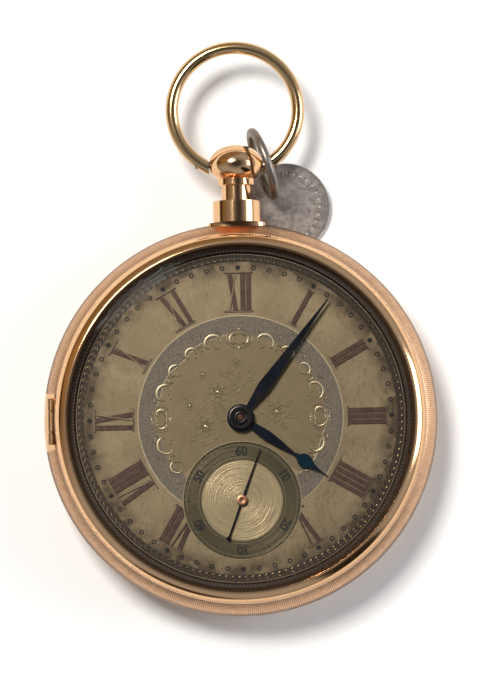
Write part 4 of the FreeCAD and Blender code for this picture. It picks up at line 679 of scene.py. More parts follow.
# ------------------------------------------------------------------ operators
class WATCH_OT_finishes(bpy.types.Operator):
    """Makes the metals, glass and enamels, and puts them on the parts of the watch"""
    bl_idname = "watch.finishes"
    bl_label = "Finishes"

    # finish: material, colour, roughness, grain, strength of the grain, wear
    METALS = {
        "bead_gold": ("bead_gold", (0.74, 0.45, 0.25), 0.25, (2.0, 2.0, 2.0), 0.1),
        # rib_gold is gold darkened as painted shade of the ribbed ring in the gap under the bezel; the hinge
        # barrels wear it too.
        "rib_gold": ("rib_gold", (0.34, 0.2, 0.1), 0.3, (2.0, 2.0, 2.0), 0.1),
        "wreath": ("wreath_gold", (0.25, 0.185, 0.115), 0.3, (4.0, 4.0, 4.0), 0.3),
        "lid_gold": ("lid_gold", (0.86, 0.60, 0.34), 0.24, (6.0, 0.4, 1.0), 0.15),
        "hatch": ("hatch_gold", (0.17, 0.105, 0.082), 0.4, (3.0, 3.0, 3.0), 0.2),
        "flora": ("flower_gold", (0.62, 0.50, 0.32), 0.25, (3.0, 3.0, 3.0), 0.1),
        "grain": ("grain_silver", (0.46, 0.40, 0.33), 0.34, (3.0, 3.0, 3.0), 0.1),
        "field": ("medallion_gold", (0.235, 0.18, 0.105), 0.36, (4.0, 0.6, 1.0), 0.1, 0.2),
        "rim_silver": ("rim_silver", (0.66, 0.62, 0.58), 0.3, (3.0, 3.0, 1.0), 0.2),
        "boss": ("boss_steel", (0.05, 0.046, 0.045), 0.24, (3.0, 3.0, 1.0), 0.2),
        "cup": ("boss_cup", (0.10, 0.05, 0.032), 0.5),
        "copper": ("copper_rose", (0.62, 0.28, 0.16), 0.3),
        "steel": ("bright_steel", (0.56, 0.56, 0.57), 0.22, (6.0, 0.5, 1.0), 0.12),
        "dark_steel": ("dark_steel", (0.27, 0.235, 0.20), 0.26, (3.0, 3.0, 3.0), 0.5, 0.25),
        "gilt": ("frosted_gilt", (0.80, 0.58, 0.25), 0.42, (7.0, 7.0, 7.0), 0.25),
        "brass": ("brass_wheels", (0.80, 0.58, 0.27), 0.26, (5.0, 5.0, 1.0), 0.12),
    }
    # finish: the CAD nodes that wear it
    PARTS = {
        "case_gold": "case_middle bezel back_cover",
        "lid_gold": "inner_lid bezel_hinge_pin back_hinge_pin inner_lid_hinge_pin",
        "bow_gold": "bow",
        "glass": "crystal",
        "dial": "dial",
        "numeral": "hour_numerals",
        "hour_blue": "hour_hand",
        "blued": "minute_hand seconds_hand hairspring bridge_screws case_screws click_screw",
        "dark_steel": "bow_pins link",
        "silver": "tag",
        "gilt": ("main_plate balance_cock barrel_bridge centre_bridge escape_bridge fourth_bridge "
                 "pallet_bridge third_bridge"),
        "brass": ("barrel barrel_cover balance_wheel centre_wheel third_wheel fourth_wheel "
                  "escape_wheel hour_wheel minute_wheel"),
        "steel": ("balance_staff cannon_pinion click click_spring lever mainspring ratchet_wheel "
                  "regulator roller setting_arbor winding_arbor"),
        "ruby": "cap_jewel jewels pallet_stones",
    }

    def execute(self, context):
        c = colours()
        f = FINISH
        for key, values in self.METALS.items():
            f[key] = plain_metal(*values)
        f["case_gold"] = polished_gold("case_gold", tuple(c.case_gold), 0.13, 0.7)
        f["bow_gold"] = polished_gold("bow_gold", tuple(c.bow_gold), 0.16, 0.8)
        milled, reeds = tuple(c.milled_gold), sizes().reeds
        f["milled_gold"] = milled_metal("milled_gold", milled, reeds, radians(180 - HINGE_ANGLE),
                                        BAND_SECTION, sizes().reed_rows)
        f["milled_bezel"] = milled_metal("milled_bezel", milled, reeds, pi, BEZEL_SECTION, BEZEL_ROWS)
        f["glass"] = domed_glass("watch_glass")
        f["dial"] = dial_metal("dial_gold_aged")
        f["numeral"] = numeral_metal("numeral_rose")
        f["relief"] = plain_metal("relief_gold", tuple(c.leaf_gold), 0.36, (3.0, 3.0, 3.0), 0.1)
        f["stipple"] = stippled_metal("medallion_ground", (0.20, 0.165, 0.125), (0.07, 0.056, 0.042))
        # Near black: painted shade on the sheet in the gap under the bezel, and patina with a painted dark
        # reflection on the wreath's ground.
        f["patina_and_shade"] = paint("dark_patina_and_shade", (0.034, 0.025, 0.018), 0.7)
        f["ink"] = paint("black_wax", (0.006, 0.0055, 0.005), 0.7)
        f["seconds"] = seconds_disc_metal("seconds_gold", (0.50, 0.39, 0.225), *SECONDS)
        f["seconds_outer"] = seconds_disc_metal("seconds_ring_dark", (0.125, 0.102, 0.06), *SECONDS)
        f["blued"] = blued_steel("blued_steel")
        f["hour_blue"] = blued_steel("hour_hand_blue", (7.6, 10.6))
        f["silver"] = worn_silver("worn_silver")
        f["ruby"] = ruby("jewel_ruby")
        for key, nodes in self.PARTS.items():
            for node in nodes.split():
                for slot in NODES[node].material_slots:
                    slot.material = f[key]
        return {"FINISHED"}


class WATCH_OT_case(bpy.types.Operator):
    """Milled pads over the band and bezel, polished skins, hinge barrels, bead line and ribbed inner ring"""
    bl_idname = "watch.case"
    bl_label = "Case decoration"

    BEAD_CIRCLE = 21.44  # mm, radius of the line of beads
    # polished pendant: (radius, height) of collar, neck and step, then the ball's centre and half sizes
    PENDANT = ((1.0, 23.1), (2.79, 23.1), (2.79, 25.43), (2.68, 25.56), (1.8, 25.56), (1.72, 25.66),
               (1.72, 27.38), (1.8, 27.44), (2.1, 27.44), (2.16, 27.5), (2.16, 27.85))
    BALL, BALL_WIDE, BALL_TALL = 29.9, 3.162, 2.362
    PENDANT_HEIGHT = 5.66  # mm, height of the pendant's axis
    KNUCKLE = (-22.05, 7.85)  # mm, place of the hinge barrels (x, height)

    def milled(self, name, section, count, rise, limit, body, material, plain=HINGE_ANGLE):
        """Knurled skin over a turned section, open at the hinges."""
        open_at = radians(180 - plain)
        inner = [(r - 0.08, z) for r, z in reversed(section)]
        rows = len(section)
        verts, faces = [], []
        steps = 2 * count
        for i in range(steps + 1):
            a = -open_at + 2 * open_at * i / steps
            for k, (r, z) in enumerate(section + inner):
                if k < rows:
                    up = rise if (i % 2 and k % 2) else 0.003
                    r = min(r + up, limit)
                verts.append((r * cos(a), r * sin(a), z))
        n = 2 * rows
        for i in range(steps):
            for k in range(n):
                m = (k + 1) % n
                faces.append((i * n + k, (i + 1) * n + k, (i + 1) * n + m, i * n + m))
        faces.append(tuple(range(n)))
        faces.append(tuple(reversed(range(steps * n, steps * n + n))))
        mesh_piece(name, verts, faces, material, body, "case_gold", smooth=False)

    def execute(self, context):
        s = sizes()
        rise = s.reed_rise / MM
        band = arc_section(BAND_CENTRE, BAND_RADIUS, *BAND_SECTION[2:], 2 * s.reed_rows)
        self.milled("milled_band", band, s.reeds, rise, 23.005, "case", FINISH["milled_gold"])
        flank = arc_section(BEZEL_CENTRE, BEZEL_RADIUS, *BEZEL_SECTION[2:], 2 * BEZEL_ROWS)
        self.milled("milled_bezel", flank, s.reeds, rise, 23.0, "bezel_lid", FINISH["milled_bezel"], 0.0)
        bead = dome(0.11, 0.1, 2, 6)
        r = self.BEAD_CIRCLE
        z = BEZEL_CENTRE[1] + sqrt(BEZEL_RADIUS ** 2 - (r - BEZEL_CENTRE[0]) ** 2)
        ring_of("bead_line", bead, s.beads, r, (0, 0, z - 0.03), FINISH["bead_gold"], "bezel_lid")
        # Black sheet in the gap between the ribbed ring and the bezel: painted shade.
        gap = turned([(19.42, 8.65), (19.84, 8.65), (19.84, 8.712), (19.42, 8.712)], 240)
        mesh_piece("ring_shadow", *gap, FINISH["patina_and_shade"], "case", "case_gold", smooth=False)
        # The ribs wear rib_gold, gold darkened as painted shade of the gap under the bezel.
        rib = block(-0.1, 0.1, -0.06, 0.06, -0.02, 0.05, 0.03)
        ring_of("ribbed_ring", rib, s.ribs, 19.53, (0, 0, 8.71), FINISH["rib_gold"], "case",
                smooth=False)
        self.knuckles()
        self.polish()
        return {"FINISHED"}

    def polish(self):
        """Smooth polished skins: the bezel's crown, and the pendant's collar, neck, step and ball."""
        crown = arc_section(BEZEL_CENTRE, BEZEL_RADIUS + 0.008, BEZEL_SECTION[3], 75.5, 24)
        crown += [(20.2, 10.05), (20.12, 9.8), (20.2, 9.8), (20.6, 9.6), (21.1, 9.2)]
        mesh_piece("bezel_polish", *turned(crown, 360), FINISH["case_gold"], "bezel_lid", "case_gold")
        rows = list(self.PENDANT)
        lowest = -asin((self.BALL - 27.9) / 2.36)
        for i in range(25):
            a = lowest + (pi / 2 - lowest) * i / 24
            rows.append((max(self.BALL_WIDE * cos(a), 0.01), self.BALL + self.BALL_TALL * sin(a)))
        rows += [(0.01, 31.9), (1.0, 31.2)]
        verts, faces = turned(rows, 96)
        verts = [(x, z, self.PENDANT_HEIGHT + y) for x, y, z in verts]
        mesh_piece("pendant_polish", verts, faces, FINISH["case_gold"], "case", "case_gold")

    def knuckles(self):
        """Hinge barrels of the bezel: the middle one on the bezel, the outer two on the band."""
        for name, body, spans in (("bezel_knuckle", "bezel_lid", ((-1.19, 1.19),)),
                                  ("band_knuckles", "case", ((-2.69, -1.24), (1.24, 2.69)))):
            parts = []
            for low, high in spans:
                verts, faces = turned([(0.2, low), (0.33, low), (0.4, low + 0.07), (0.4, high - 0.07),
                                       (0.33, high), (0.2, high)], 24)
                parts.append(([(self.KNUCKLE[0] + x, z, self.KNUCKLE[1] + y) for x, y, z in verts], faces))
            mesh_piece(name, *join(parts), FINISH["rib_gold"], body, "case_gold")


class WATCH_OT_wreath(bpy.types.Operator):
    """Leaf wreath round the dial with its dark ground (patina and painted dark reflection) and gold edge
    lines
    """
    bl_idname = "watch.wreath"
    bl_label = "Dial wreath"

    def execute(self, context):
        s = sizes()
        mid = s.wreath_radius / MM
        low, high = DIAL_TOP - 0.05, DIAL_TOP + 0.012
        # Dark ground under the leaves: patina, partly a painted dark reflection.
        dark = turned([(mid - 0.4, low), (mid + 0.6, low), (mid + 0.6, high), (mid - 0.4, high)], 240)
        on_dial("wreath_ground", dark, "patina_and_shade", False)
        leaves = []
        for side in (-1, 1):
            path = curl([(0.03 * side, -0.3), (0.17 * side, -0.05), (0.3 * side, 0.3)], 6)
            leaves.append(ridge(path, swell(path, 0.26, 0.15), 0.11, 0.0, 4))
        stem = [(0.0, -0.42), (0.0, 0.36)]
        leaves.append(ridge(stem, [0.05, 0.05], 0.05, 0.0, 3))
        ring_on_dial("wreath_leaves", join(leaves), s.leaf_pairs, mid, (0, 0, DIAL_TOP + 0.012), "wreath")
        r, top = mid + 0.42, DIAL_TOP + 0.06
        line = turned([(r, DIAL_TOP), (r + 0.09, DIAL_TOP), (r + 0.06, top), (r + 0.03, top)], 240)
        on_dial("wreath_lines", line, "relief")
        return {"FINISHED"}


class WATCH_OT_minutes(bpy.types.Operator):
    """Ring marks for the minutes and filled marks for the hours"""
    bl_idname = "watch.minutes"
    bl_label = "Minute marks"

    def execute(self, context):
        r = sizes().mark_radius / MM
        ring = turned([(0.15, 0.0), (0.29, 0.0), (0.27, 0.045), (0.17, 0.045)], 14)
        ring_on_dial("minute_rings", ring, 60, r, (0, 0, DIAL_TOP), "ink")
        ring_on_dial("hour_dots", dome(0.27, 0.06, 3, 16, 0.03), 12, r, (0, 0, DIAL_TOP), "ink")
        return {"FINISHED"}


class WATCH_OT_medallion(bpy.types.Operator):
    """Engraved centre: stippled ring, edge line, cartouches, scrolls and flowers"""
    bl_idname = "watch.medallion"
    bl_label = "Dial medallion"

    CARTOUCHE = 9.25  # mm, from the centre of the dial to the middle of each shield
    # C scrolls: degrees from a cartouche, radius, size, lean in degrees, width
    SCROLLS = ((19.5, 9.62, 1.18, 10, 0.42), (28.5, 9.3, 0.42, -70, 0.2), (36.5, 9.62, 0.86, 0, 0.38))
    # sprigs: degrees from a cartouche, first and last radius, lean in degrees, width
    SPRIGS = ((11.5, 9.9, 10.5, 4, 0.14), (27, 10.2, 10.7, -3, 0.13), (34, 9.2, 8.6, 3, 0.12),
              (43, 10.1, 10.6, 2, 0.13), (19, 8.9, 8.4, -3, 0.12))
    # flowers: x, y, size, petals, turn
    FLOWERS = ((-2.6, 3.1, 1.3, 7, 0.2), (4.2, 0.7, 1.2, 6, 0.5), (-4.1, -0.9, 1.3, 7, 0.1),
               (-4.3, 5.2, 0.55, 5, 0.3), (2.9, 3.2, 0.7, 5, 0.8), (-5.9, 1.6, 0.6, 5, 0.4),
               (-0.4, 6.6, 0.6, 5, 0.9))
    # stems: three points each
    STEMS = ([(-0.4, 1.8), (-0.3, 3.6), (-0.4, 5.9)], [(-1.7, 0.6), (-2.0, 1.2), (-2.4, 1.9)],
             [(-1.7, -0.2), (-2.4, -0.4), (-2.9, -0.6)], [(1.7, 0.3), (2.4, 0.5), (3.0, 0.6)],
             [(-0.3, 3.0), (0.8, 4.4), (1.5, 5.2)], [(-0.3, 3.6), (-1.3, 4.8), (-1.9, 5.4)],
             [(-3.4, 4.0), (-3.8, 4.5), (-4.1, 4.9)], [(-4.6, 0.3), (-5.2, 1.0), (-5.6, 1.3)],
             [(1.2, 1.3), (2.0, 2.2), (2.6, 2.8)], [(-2.4, -1.6), (-2.9, -2.4), (-3.8, -2.9)])
    # leaves: x, y, size, heading in radians
    LEAVES = ((-0.35, 3.0, 1.1, 0.9), (-0.35, 3.3, 1.1, 2.3), (0.9, 4.5, 0.9, 0.2), (1.0, 4.7, 1.0, 1.5),
              (-1.4, 4.9, 0.9, 1.5), (-1.5, 5.0, 0.9, 2.9), (-0.4, 4.8, 0.9, 0.7), (-0.4, 5.0, 0.9, 2.5),
              (-3.7, 1.5, 1.0, 3.4), (-1.4, 2.0, 0.9, 5.6), (-5.3, -0.3, 0.9, 2.9), (-5.2, -1.9, 1.0, 3.9),
              (-3.1, -2.2, 0.9, 5.2), (-2.9, 0.6, 0.8, 1.9), (5.3, 1.3, 1.0, 0.8), (5.4, 0.2, 1.1, 6.1),
              (3.4, 1.8, 0.8, 2.0), (3.3, -0.4, 0.9, 4.1), (4.8, -0.6, 0.9, 5.3), (2.2, 2.3, 0.8, 0.3),
              (-3.9, -2.9, 0.9, 3.0), (-6.3, 2.1, 0.8, 2.2))

    @staticmethod
    def field_edge(a):
        """Edge of the smooth field: hollowed between the cartouches."""
        return 9.75 + 0.2 * cos(4 * a) + 0.16 * cos(12 * a)

    @staticmethod
    def seconds_crossing(a, way, missed):
        """Radius at which a ray enters (-1) or leaves (1) the seconds circle, or missed."""
        s, away = sin(a), -SECONDS[1]
        d = (away * s) ** 2 - (away ** 2 - (SECONDS_RADIUS + 0.03) ** 2)
        return -away * s + way * sqrt(d) if d > 0 and s < 0 else missed

    @staticmethod
    def c_scroll(x, y, size, heading, wide, height=0.12):
        """Raised C scroll with curled ends; its back faces the heading."""
        n = 30
        step, turn, at, path = 3.3 * size / n, 0.0, Vector((0, 0)), [Vector((0, 0))]
        for way in (1, -1):
            turn, at, half = pi / 2, Vector((0, 0)), []
            for k in range(n // 2):
                t = (k + 0.5) / (n / 2)
                turn += (1 + 3.4 * t ** 4) / size * step
                at = at + Vector((cos(turn), way * sin(turn))) * step
                half.append(at)
            path = path + half if way == 1 else list(reversed(half)) + path
        c, s = cos(heading), sin(heading)
        out = [(q.x + size * 0.5, q.y) for q in path]
        path = [Vector((x + u * c - w * s, y + u * s + w * c)) for u, w in out]
        if not clear_of_seconds(path):
            return []
        return [ridge(path, swell(path, wide, 0.28), height, RELIEF_FOOT, 4)]

    def scroll(self, quarter, side):
        """Raised scrolls of one half quarter, between a cartouche and the diagonal."""
        out = []
        for off, r, size, lean, wide in self.SCROLLS:
            a = quarter + pi / 2 + side * radians(off)
            out += self.c_scroll(r * cos(a), r * sin(a), size, a + side * radians(lean), wide)
        for off, r0, r1, lean, wide in self.SPRIGS:
            a = quarter + pi / 2 + side * radians(off)
            b = a + side * radians(lean)
            points = ((r0, a), ((r0 + r1) / 2, a), (r1, b))
            path = curl([(r * cos(t), r * sin(t)) for r, t in points], 8)
            if clear_of_seconds(path):
                out.append(ridge(path, swell(path, wide), 0.09, RELIEF_FOOT, 4))
        return out

    def cartouche(self, quarter):
        """Oval shield between two C scrolls."""
        out = []
        a = quarter + pi / 2
        c, s = cos(a), sin(a)
        x, y = self.CARTOUCHE * c, self.CARTOUCHE * s
        for side in (-1, 1):
            b = a + side * pi / 2
            out += self.c_scroll(x + 0.78 * cos(b), y + 0.78 * sin(b), 0.66, b, 0.36, 0.14)
        for rx, ry, wide in ((0.78, 0.62, 0.1), (1.5, 1.12, 0.09)):
            path = []
            for i in range(29):
                t = 2 * pi * i / 28
                u, w = rx * cos(t), ry * sin(t)
                path.append(Vector((x - u * s + w * c, y + u * c + w * s)))
            if clear_of_seconds(path):
                out.append(ridge(path, [wide] * len(path), 0.08, RELIEF_FOOT, 4))
        for r in (8.2, 10.35):
            if quarter != pi:
                out.append(placed(dome(0.17, 0.1, 2, 8), 0, r * c, r * s, RELIEF_FOOT))
        return out

    def flower(self, x, y, size, petals, turn):
        """Open flower: a ring of petals round a second ring and a bud."""
        out = []
        for ring_size, shift, wide in ((1.0, 0.0, 0.12), (0.55, pi / petals, 0.09)):
            for i in range(petals):
                a = turn + shift + 2 * pi * i / petals
                c, s = cos(a), sin(a)
                loop = []
                for k in range(11):
                    b = 2 * pi * k / 10
                    u = size * ring_size * (0.66 + 0.34 * cos(b))
                    w = size * ring_size * 0.32 * sin(b)
                    loop.append(Vector((x + u * c - w * s, y + u * s + w * c)))
                out.append(ridge(loop, [wide] * 11, 0.13, RELIEF_FOOT, 3))
        out.append(placed(dome(size * 0.2, 0.1, 2, 8), 0, x, y, RELIEF_FOOT))
        return out

    def leaf(self, x, y, size, heading):
        """Leaf outline and its vein."""
        c, s = cos(heading), sin(heading)
        path = [Vector((x + t * size * c, y + t * size * s)) for t in (0, 0.25, 0.5, 0.75, 1.0)]
        out = [ridge(path, [0.07] * 5, 0.06, DIAL_TOP + 0.012, 3)]
        for side in (-1, 1):
            edge = []
            for k in range(7):
                t = k / 6
                w = side * size * 0.24 * sin(pi * t ** 0.8)
                edge.append(Vector((x + t * size * c - w * s, y + t * size * s + w * c)))
            out.append(ridge(edge, [0.11] * 7, 0.13, RELIEF_FOOT, 3))
        return out

    def execute(self, context):
        r = sizes().medallion / MM
        a0, a1 = radians(-54.3), radians(234.3)
        ground = slab(lambda a: max(self.field_edge(a), self.seconds_crossing(a, 1, 0.0)), r, DIAL_TOP - 0.05,
                      DIAL_TOP + 0.012, a0, a1, 288, 3)
        on_dial("medallion_ground", ground, "stipple", False)
        field = slab(1.75, lambda a: min(self.field_edge(a), self.seconds_crossing(a, -1, 99.0)),
                     DIAL_TOP - 0.05, DIAL_TOP + 0.014, 0.0, 2 * pi, 288, 3)
        on_dial("medallion_field", field, "field", False)
        verts, faces = slab(
            lambda a: max(self.field_edge(a) + 0.08, self.seconds_crossing(a, 1, 0.0) + 0.06),
            r - 0.1, DIAL_TOP, DIAL_TOP + 0.012, a0 + 0.01, a1 - 0.01, 288, 2)
        host = bpy.data.meshes.new("grain_host")
        top = [f for f in faces if all(verts[i][2] > DIAL_TOP + 0.011 for i in f)]
        host.from_pydata([(x * MM, y * MM, z * MM) for x, y, z in verts], [], top)
        grains = grow(stipple_tree(), host, {"Density": sizes().grains * 1e6, "Grain": 0.00006, "Seed": 7,
                                             "Material": FINISH["grain"]})
        add_piece("medallion_grains", grains, None, "case", smooth=False)
        edge_a = radians(-54.0)
        edge = slab(r, r + 0.14, DIAL_TOP - 0.02, DIAL_TOP + 0.05, edge_a, pi - edge_a, 300)
        on_dial("medallion_edge", edge, "relief", False)
        parts = []
        for q in range(4):
            turn = q * pi / 2
            parts += self.cartouche(turn)
            for side in (-1, 1):
                parts += self.scroll(turn, side)
        border = [Vector((self.field_edge(a) * cos(a), self.field_edge(a) * sin(a)))
                  for a in [radians(-44 + i) for i in range(269)]]
        parts.append(ridge(border, [0.09] * len(border), 0.04, RELIEF_FOOT, 4))
        on_dial("medallion_scrolls", join(parts), "relief")
        flora = []
        for x, y, size, petals, turn in self.FLOWERS:
            flora += self.flower(x, y, size, petals, turn)
        for pts in self.STEMS:
            path = curl(pts, 14)
            flora.append(ridge(path, [0.12] * len(path), 0.12, RELIEF_FOOT, 3))
        for x, y, size, heading in self.LEAVES:
            flora += self.leaf(x, y, size, heading)
        on_dial("medallion_flowers", join(flora), "flora")
        return {"FINISHED"}


class WATCH_OT_numerals(bpy.types.Operator):
    """Lengthwise hatching and bright edges on the hour numerals"""
    bl_idname = "watch.numerals"
    bl_label = "Numeral hatching"

    PITCH, LETTER_X, LETTER_V, WIDE = 0.68, 1.7, 1.75, 0.55  # mm, letter widths and thick stroke
    INNER, OUTER, TOP = 12.4, 17.1, 8.26

    def strokes(self, text):
        """Thick strokes (offset at the inner end, offset at the outer end) and thin ones."""
        widths = {"I": self.PITCH, "V": self.LETTER_V, "X": self.LETTER_X}
        x = -sum(widths[c] for c in text) / 2
        thick, thin = [], []
        for c in text:
            w = widths[c]
            mid = x + w / 2
            if c == "I":
                thick.append((mid, mid))
            elif c == "V":
                thick.append((mid - 0.05, mid - w * 0.27))
                thin.append((mid + 0.1, mid + w * 0.3))
            else:
                thick.append((mid + w * 0.22, mid - w * 0.22))
                thin.append((mid - w * 0.22, mid + w * 0.22))
            x += w
        return thick, thin, sum(widths[c] for c in text) / 2 + 0.15

    def execute(self, context):
        pitch = sizes().hatch_pitch / MM
        hatch, edge = [], []
        for hour, text in enumerate("I II III IIII V - VII VIII IX X XI XII".split(), 1):
            if text == "-":
                continue
            turn = radians(-30 * hour)
            c, s = cos(turn), sin(turn)
            thick, thin, half = self.strokes(text)
            lines = []
            for x0, x1 in thick:
                n = int((self.WIDE - 0.1) / pitch)
                for k in range(n + 1):
                    off = -(self.WIDE - 0.14) / 2 + (self.WIDE - 0.14) * k / n
                    lines.append((x0 + off, x1 + off, self.INNER + 0.22, self.OUTER - 0.22, 0.06, hatch))
            for x0, x1 in thin:
                lines.append((x0, x1, self.INNER + 0.2, self.OUTER - 0.2, 0.1, edge))
            for x0, x1, r0, r1, wide, target in lines:
                path = [Vector((x0 + (x1 - x0) * t, r0 + (r1 - r0) * t)) for t in (0, 0.5, 1)]
                path = [Vector((q.x * c - q.y * s, q.x * s + q.y * c)) for q in path]
                if clear_of_seconds(path):
                    target.append(ridge(path, [wide] * 3, 0.03, self.TOP, 3))
            for r in (self.INNER + 0.05, self.OUTER - 0.05):
                path = [Vector((x * c - r * s, x * s + r * c)) for x in (-half + 0.03, half - 0.03)]
                if clear_of_seconds(path):
                    edge.append(ridge(path, [0.06] * 2, 0.03, self.TOP, 3))
        mesh_piece("numeral_hatching", *join(hatch), FINISH["hatch"], "case", "numeral_gold")
        mesh_piece("numeral_edges", *join(edge), FINISH["relief"], "case", "numeral_gold")
        return {"FINISHED"}


class WATCH_OT_seconds(bpy.types.Operator):
    """Seconds circle: dark ring with digits and strokes, edge lines and turned middle"""
    bl_idname = "watch.seconds"
    bl_label = "Seconds circle"

    MIDDLE, DIGITS, LONG_TICKS, TICKS = 4.62, 5.7, 6.2, 6.62  # mm, radii around the seconds hand

    def execute(self, context):
        x, y = SECONDS
        foot = SECONDS_FLOOR + 0.012

        def shift(part):
            return placed(part, 0, x, y)

        ground = slab(self.MIDDLE + 0.12, SECONDS_RADIUS - 0.03, SECONDS_FLOOR - 0.02, foot,
                      0, 2 * pi, 180)
        on_dial("seconds_ground", shift(ground), "seconds_outer", False)
        middle = slab(0.42, self.MIDDLE, SECONDS_FLOOR, SECONDS_FLOOR + 0.052, 0, 2 * pi, 180, 2)
        on_dial("seconds_middle", shift(middle), "seconds", False)
        rings = ((self.MIDDLE, 0.12, SECONDS_FLOOR + 0.03), (SECONDS_RADIUS - 0.04, 0.14, DIAL_TOP - 0.02),
                 (5.02, 0.05, SECONDS_FLOOR), (6.45, 0.05, SECONDS_FLOOR))
        lines = [turned([(r, z), (r + w, z), (r + w * 0.7, z + 0.05), (r + w * 0.3, z + 0.05)], 180)
                 for r, w, z in rings]
        on_dial("seconds_lines", shift(join(lines)), "relief")
        tick = block(-0.15, 0.15, -0.022, 0.022, 0.0, 0.02)
        ring_on_dial("seconds_ticks", tick, 60, self.TICKS, (x, y, foot), "ink", False)
        long_tick = block(-0.16, 0.16, -0.045, 0.045, 0.0, 0.025)
        ring_on_dial("seconds_long_ticks", long_tick, 12, self.LONG_TICKS, (x, y, foot), "ink", False)
        verts, faces = [], []
        for i in range(1, 7):
            text = bpy.data.curves.new("digits", "FONT")
            text.body = str(10 * i)
            text.size = sizes().seconds_digits
            text.align_x, text.align_y = "CENTER", "CENTER"
            text.extrude = 0.00001
            text.offset = 0.00004
            text.resolution_u = 3
            host = bpy.data.objects.new("digits", text)
            bpy.context.scene.collection.objects.link(host)
            context.view_layer.update()
            mesh = bpy.data.meshes.new_from_object(host.evaluated_get(context.evaluated_depsgraph_get()))
            bpy.data.objects.remove(host)
            turn = radians(-60 * i)
            part = ([tuple(v.co / MM) for v in mesh.vertices], [tuple(p.vertices) for p in mesh.polygons])
            part = placed(part, 0, 0, self.DIGITS)
            part = placed(part, turn, x, y, SECONDS_FLOOR + 0.018)
            verts, faces = join([(verts, faces), part])
        on_dial("seconds_digits", (verts, faces), "ink", False)
        return {"FINISHED"}


class WATCH_OT_hubs(bpy.types.Operator):
    """Turned boss over the minute hand and cap over the seconds hand"""
    bl_idname = "watch.hubs"
    bl_label = "Hand hubs"

    def execute(self, context):
        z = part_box("minute_hand")[1][2] / MM
        steel = turned([(0.42, z - 0.1), (1.42, z - 0.1), (1.42, z + 0.03), (1.3, z + 0.08),
                        (1.05, z + 0.05), (1.05, z + 0.1), (0.98, z + 0.17), (0.86, z + 0.17),
                        (0.8, z + 0.1), (0.74, z + 0.16), (0.6, z + 0.2), (0.46, z + 0.17),
                        (0.42, z + 0.1)], 72)
        mesh_piece("hand_boss", *steel, FINISH["boss"], "centre", "steel")
        hollow = placed(dome(0.43, 0.1, 6, 36, 0.07), 0, 0, 0, z + 0.02)
        mesh_piece("hand_boss_cup", *hollow, FINISH["cup"], "centre", "steel")
        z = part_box("seconds_hand")[1][2] / MM
        cap = turned([(0.17, z - 0.03), (0.6, z - 0.03), (0.6, z + 0.03), (0.5, z + 0.07), (0.3, z + 0.05),
                      (0.17, z + 0.03)], 40)
        mesh_piece("seconds_cap", *placed(cap, 0, *SECONDS), FINISH["copper"], "fourth", "steel")
        return {"FINISHED"}


class WATCH_OT_tag(bpy.types.Operator):
    """Border of dashes and beads on both faces of the tag, in place of any lettering"""
    bl_idname = "watch.tag"
    bl_label = "Tag border"

    FACE = 0.225  # mm, from the middle of the tag to its faces
    CIRCLE = 4.0  # mm, radius of the dashes and beads
    HOLE = (3.6, radians(127.6))  # mm and angle of the hole from the tag's centre

    def execute(self, context):
        points = np.array([v.co for v in NODES["tag"].data.vertices]) / MM
        low, high = points.min(axis=0), points.max(axis=0)
        centre = (low + high) / 2
        thinnest = np.linalg.eigh(np.cov((points - centre).T))[1][:, 0]
        normal = Vector(thinnest)
        normal = normal if normal.z > 0 else -normal
        frame_turn = normal.to_track_quat("Z", "Y").to_matrix().to_4x4()
        place = Matrix.Translation(Vector(centre)) @ frame_turn
        hole = place.inverted() @ Vector(self.hole_centre(centre))
        parts = []
        for face in (1, -1):
            for i in range(56):
                a = 2 * pi * i / 56
                x, y = self.CIRCLE * cos(a), self.CIRCLE * sin(a)
                if hypot(x - hole.x, y - hole.y) < 1.75:
                    continue
                mark = block(-0.34, 0.34, -0.1, 0.1, -0.02, 0.085, 0.03) if i % 2 else dome(0.15, 0.09, 2, 8)
                parts.append(self.on_face(placed(mark, a, x, y), face))
            line = turned([(3.48, -0.01), (3.56, -0.01), (3.54, 0.03), (3.5, 0.03)], 120)
            verts, faces = self.on_face(line, face)
            clear = [hypot(x - hole.x, y - hole.y) > 1.4 for x, y, z in verts]
            parts.append((verts, [f for f in faces if all(clear[i] for i in f)]))
        verts, faces = join(parts)
        verts = [tuple(place @ Vector(q)) for q in verts]
        rim = join([turned([(4.86, 0.265), (5.14, 0.265), (5.1, 0.335), (4.9, 0.335)], 120),
                    turned([(4.9, -0.335), (5.1, -0.335), (5.14, -0.265), (4.86, -0.265)], 120)])
        rim = ([tuple(place @ Vector(q)) for q in rim[0]], rim[1])
        mesh_piece("tag_bright_rim", *rim, FINISH["rim_silver"], "tag_body", "worn_silver")
        mesh_piece("tag_border", verts, faces, FINISH["rim_silver"], "tag_body", "worn_silver", smooth=False)
        return {"FINISHED"}

    def on_face(self, part, face):
        """Marks stood on the upper (1) or the lower (-1) face."""
        return [(x, y, (self.FACE + z) * face) for x, y, z in part[0]], part[1]

    def hole_centre(self, centre):
        """Middle of the tag's hole, from the tag's centre."""
        away, heading = self.HOLE
        return centre[0] + away * cos(heading), centre[1] + away * sin(heading), centre[2]


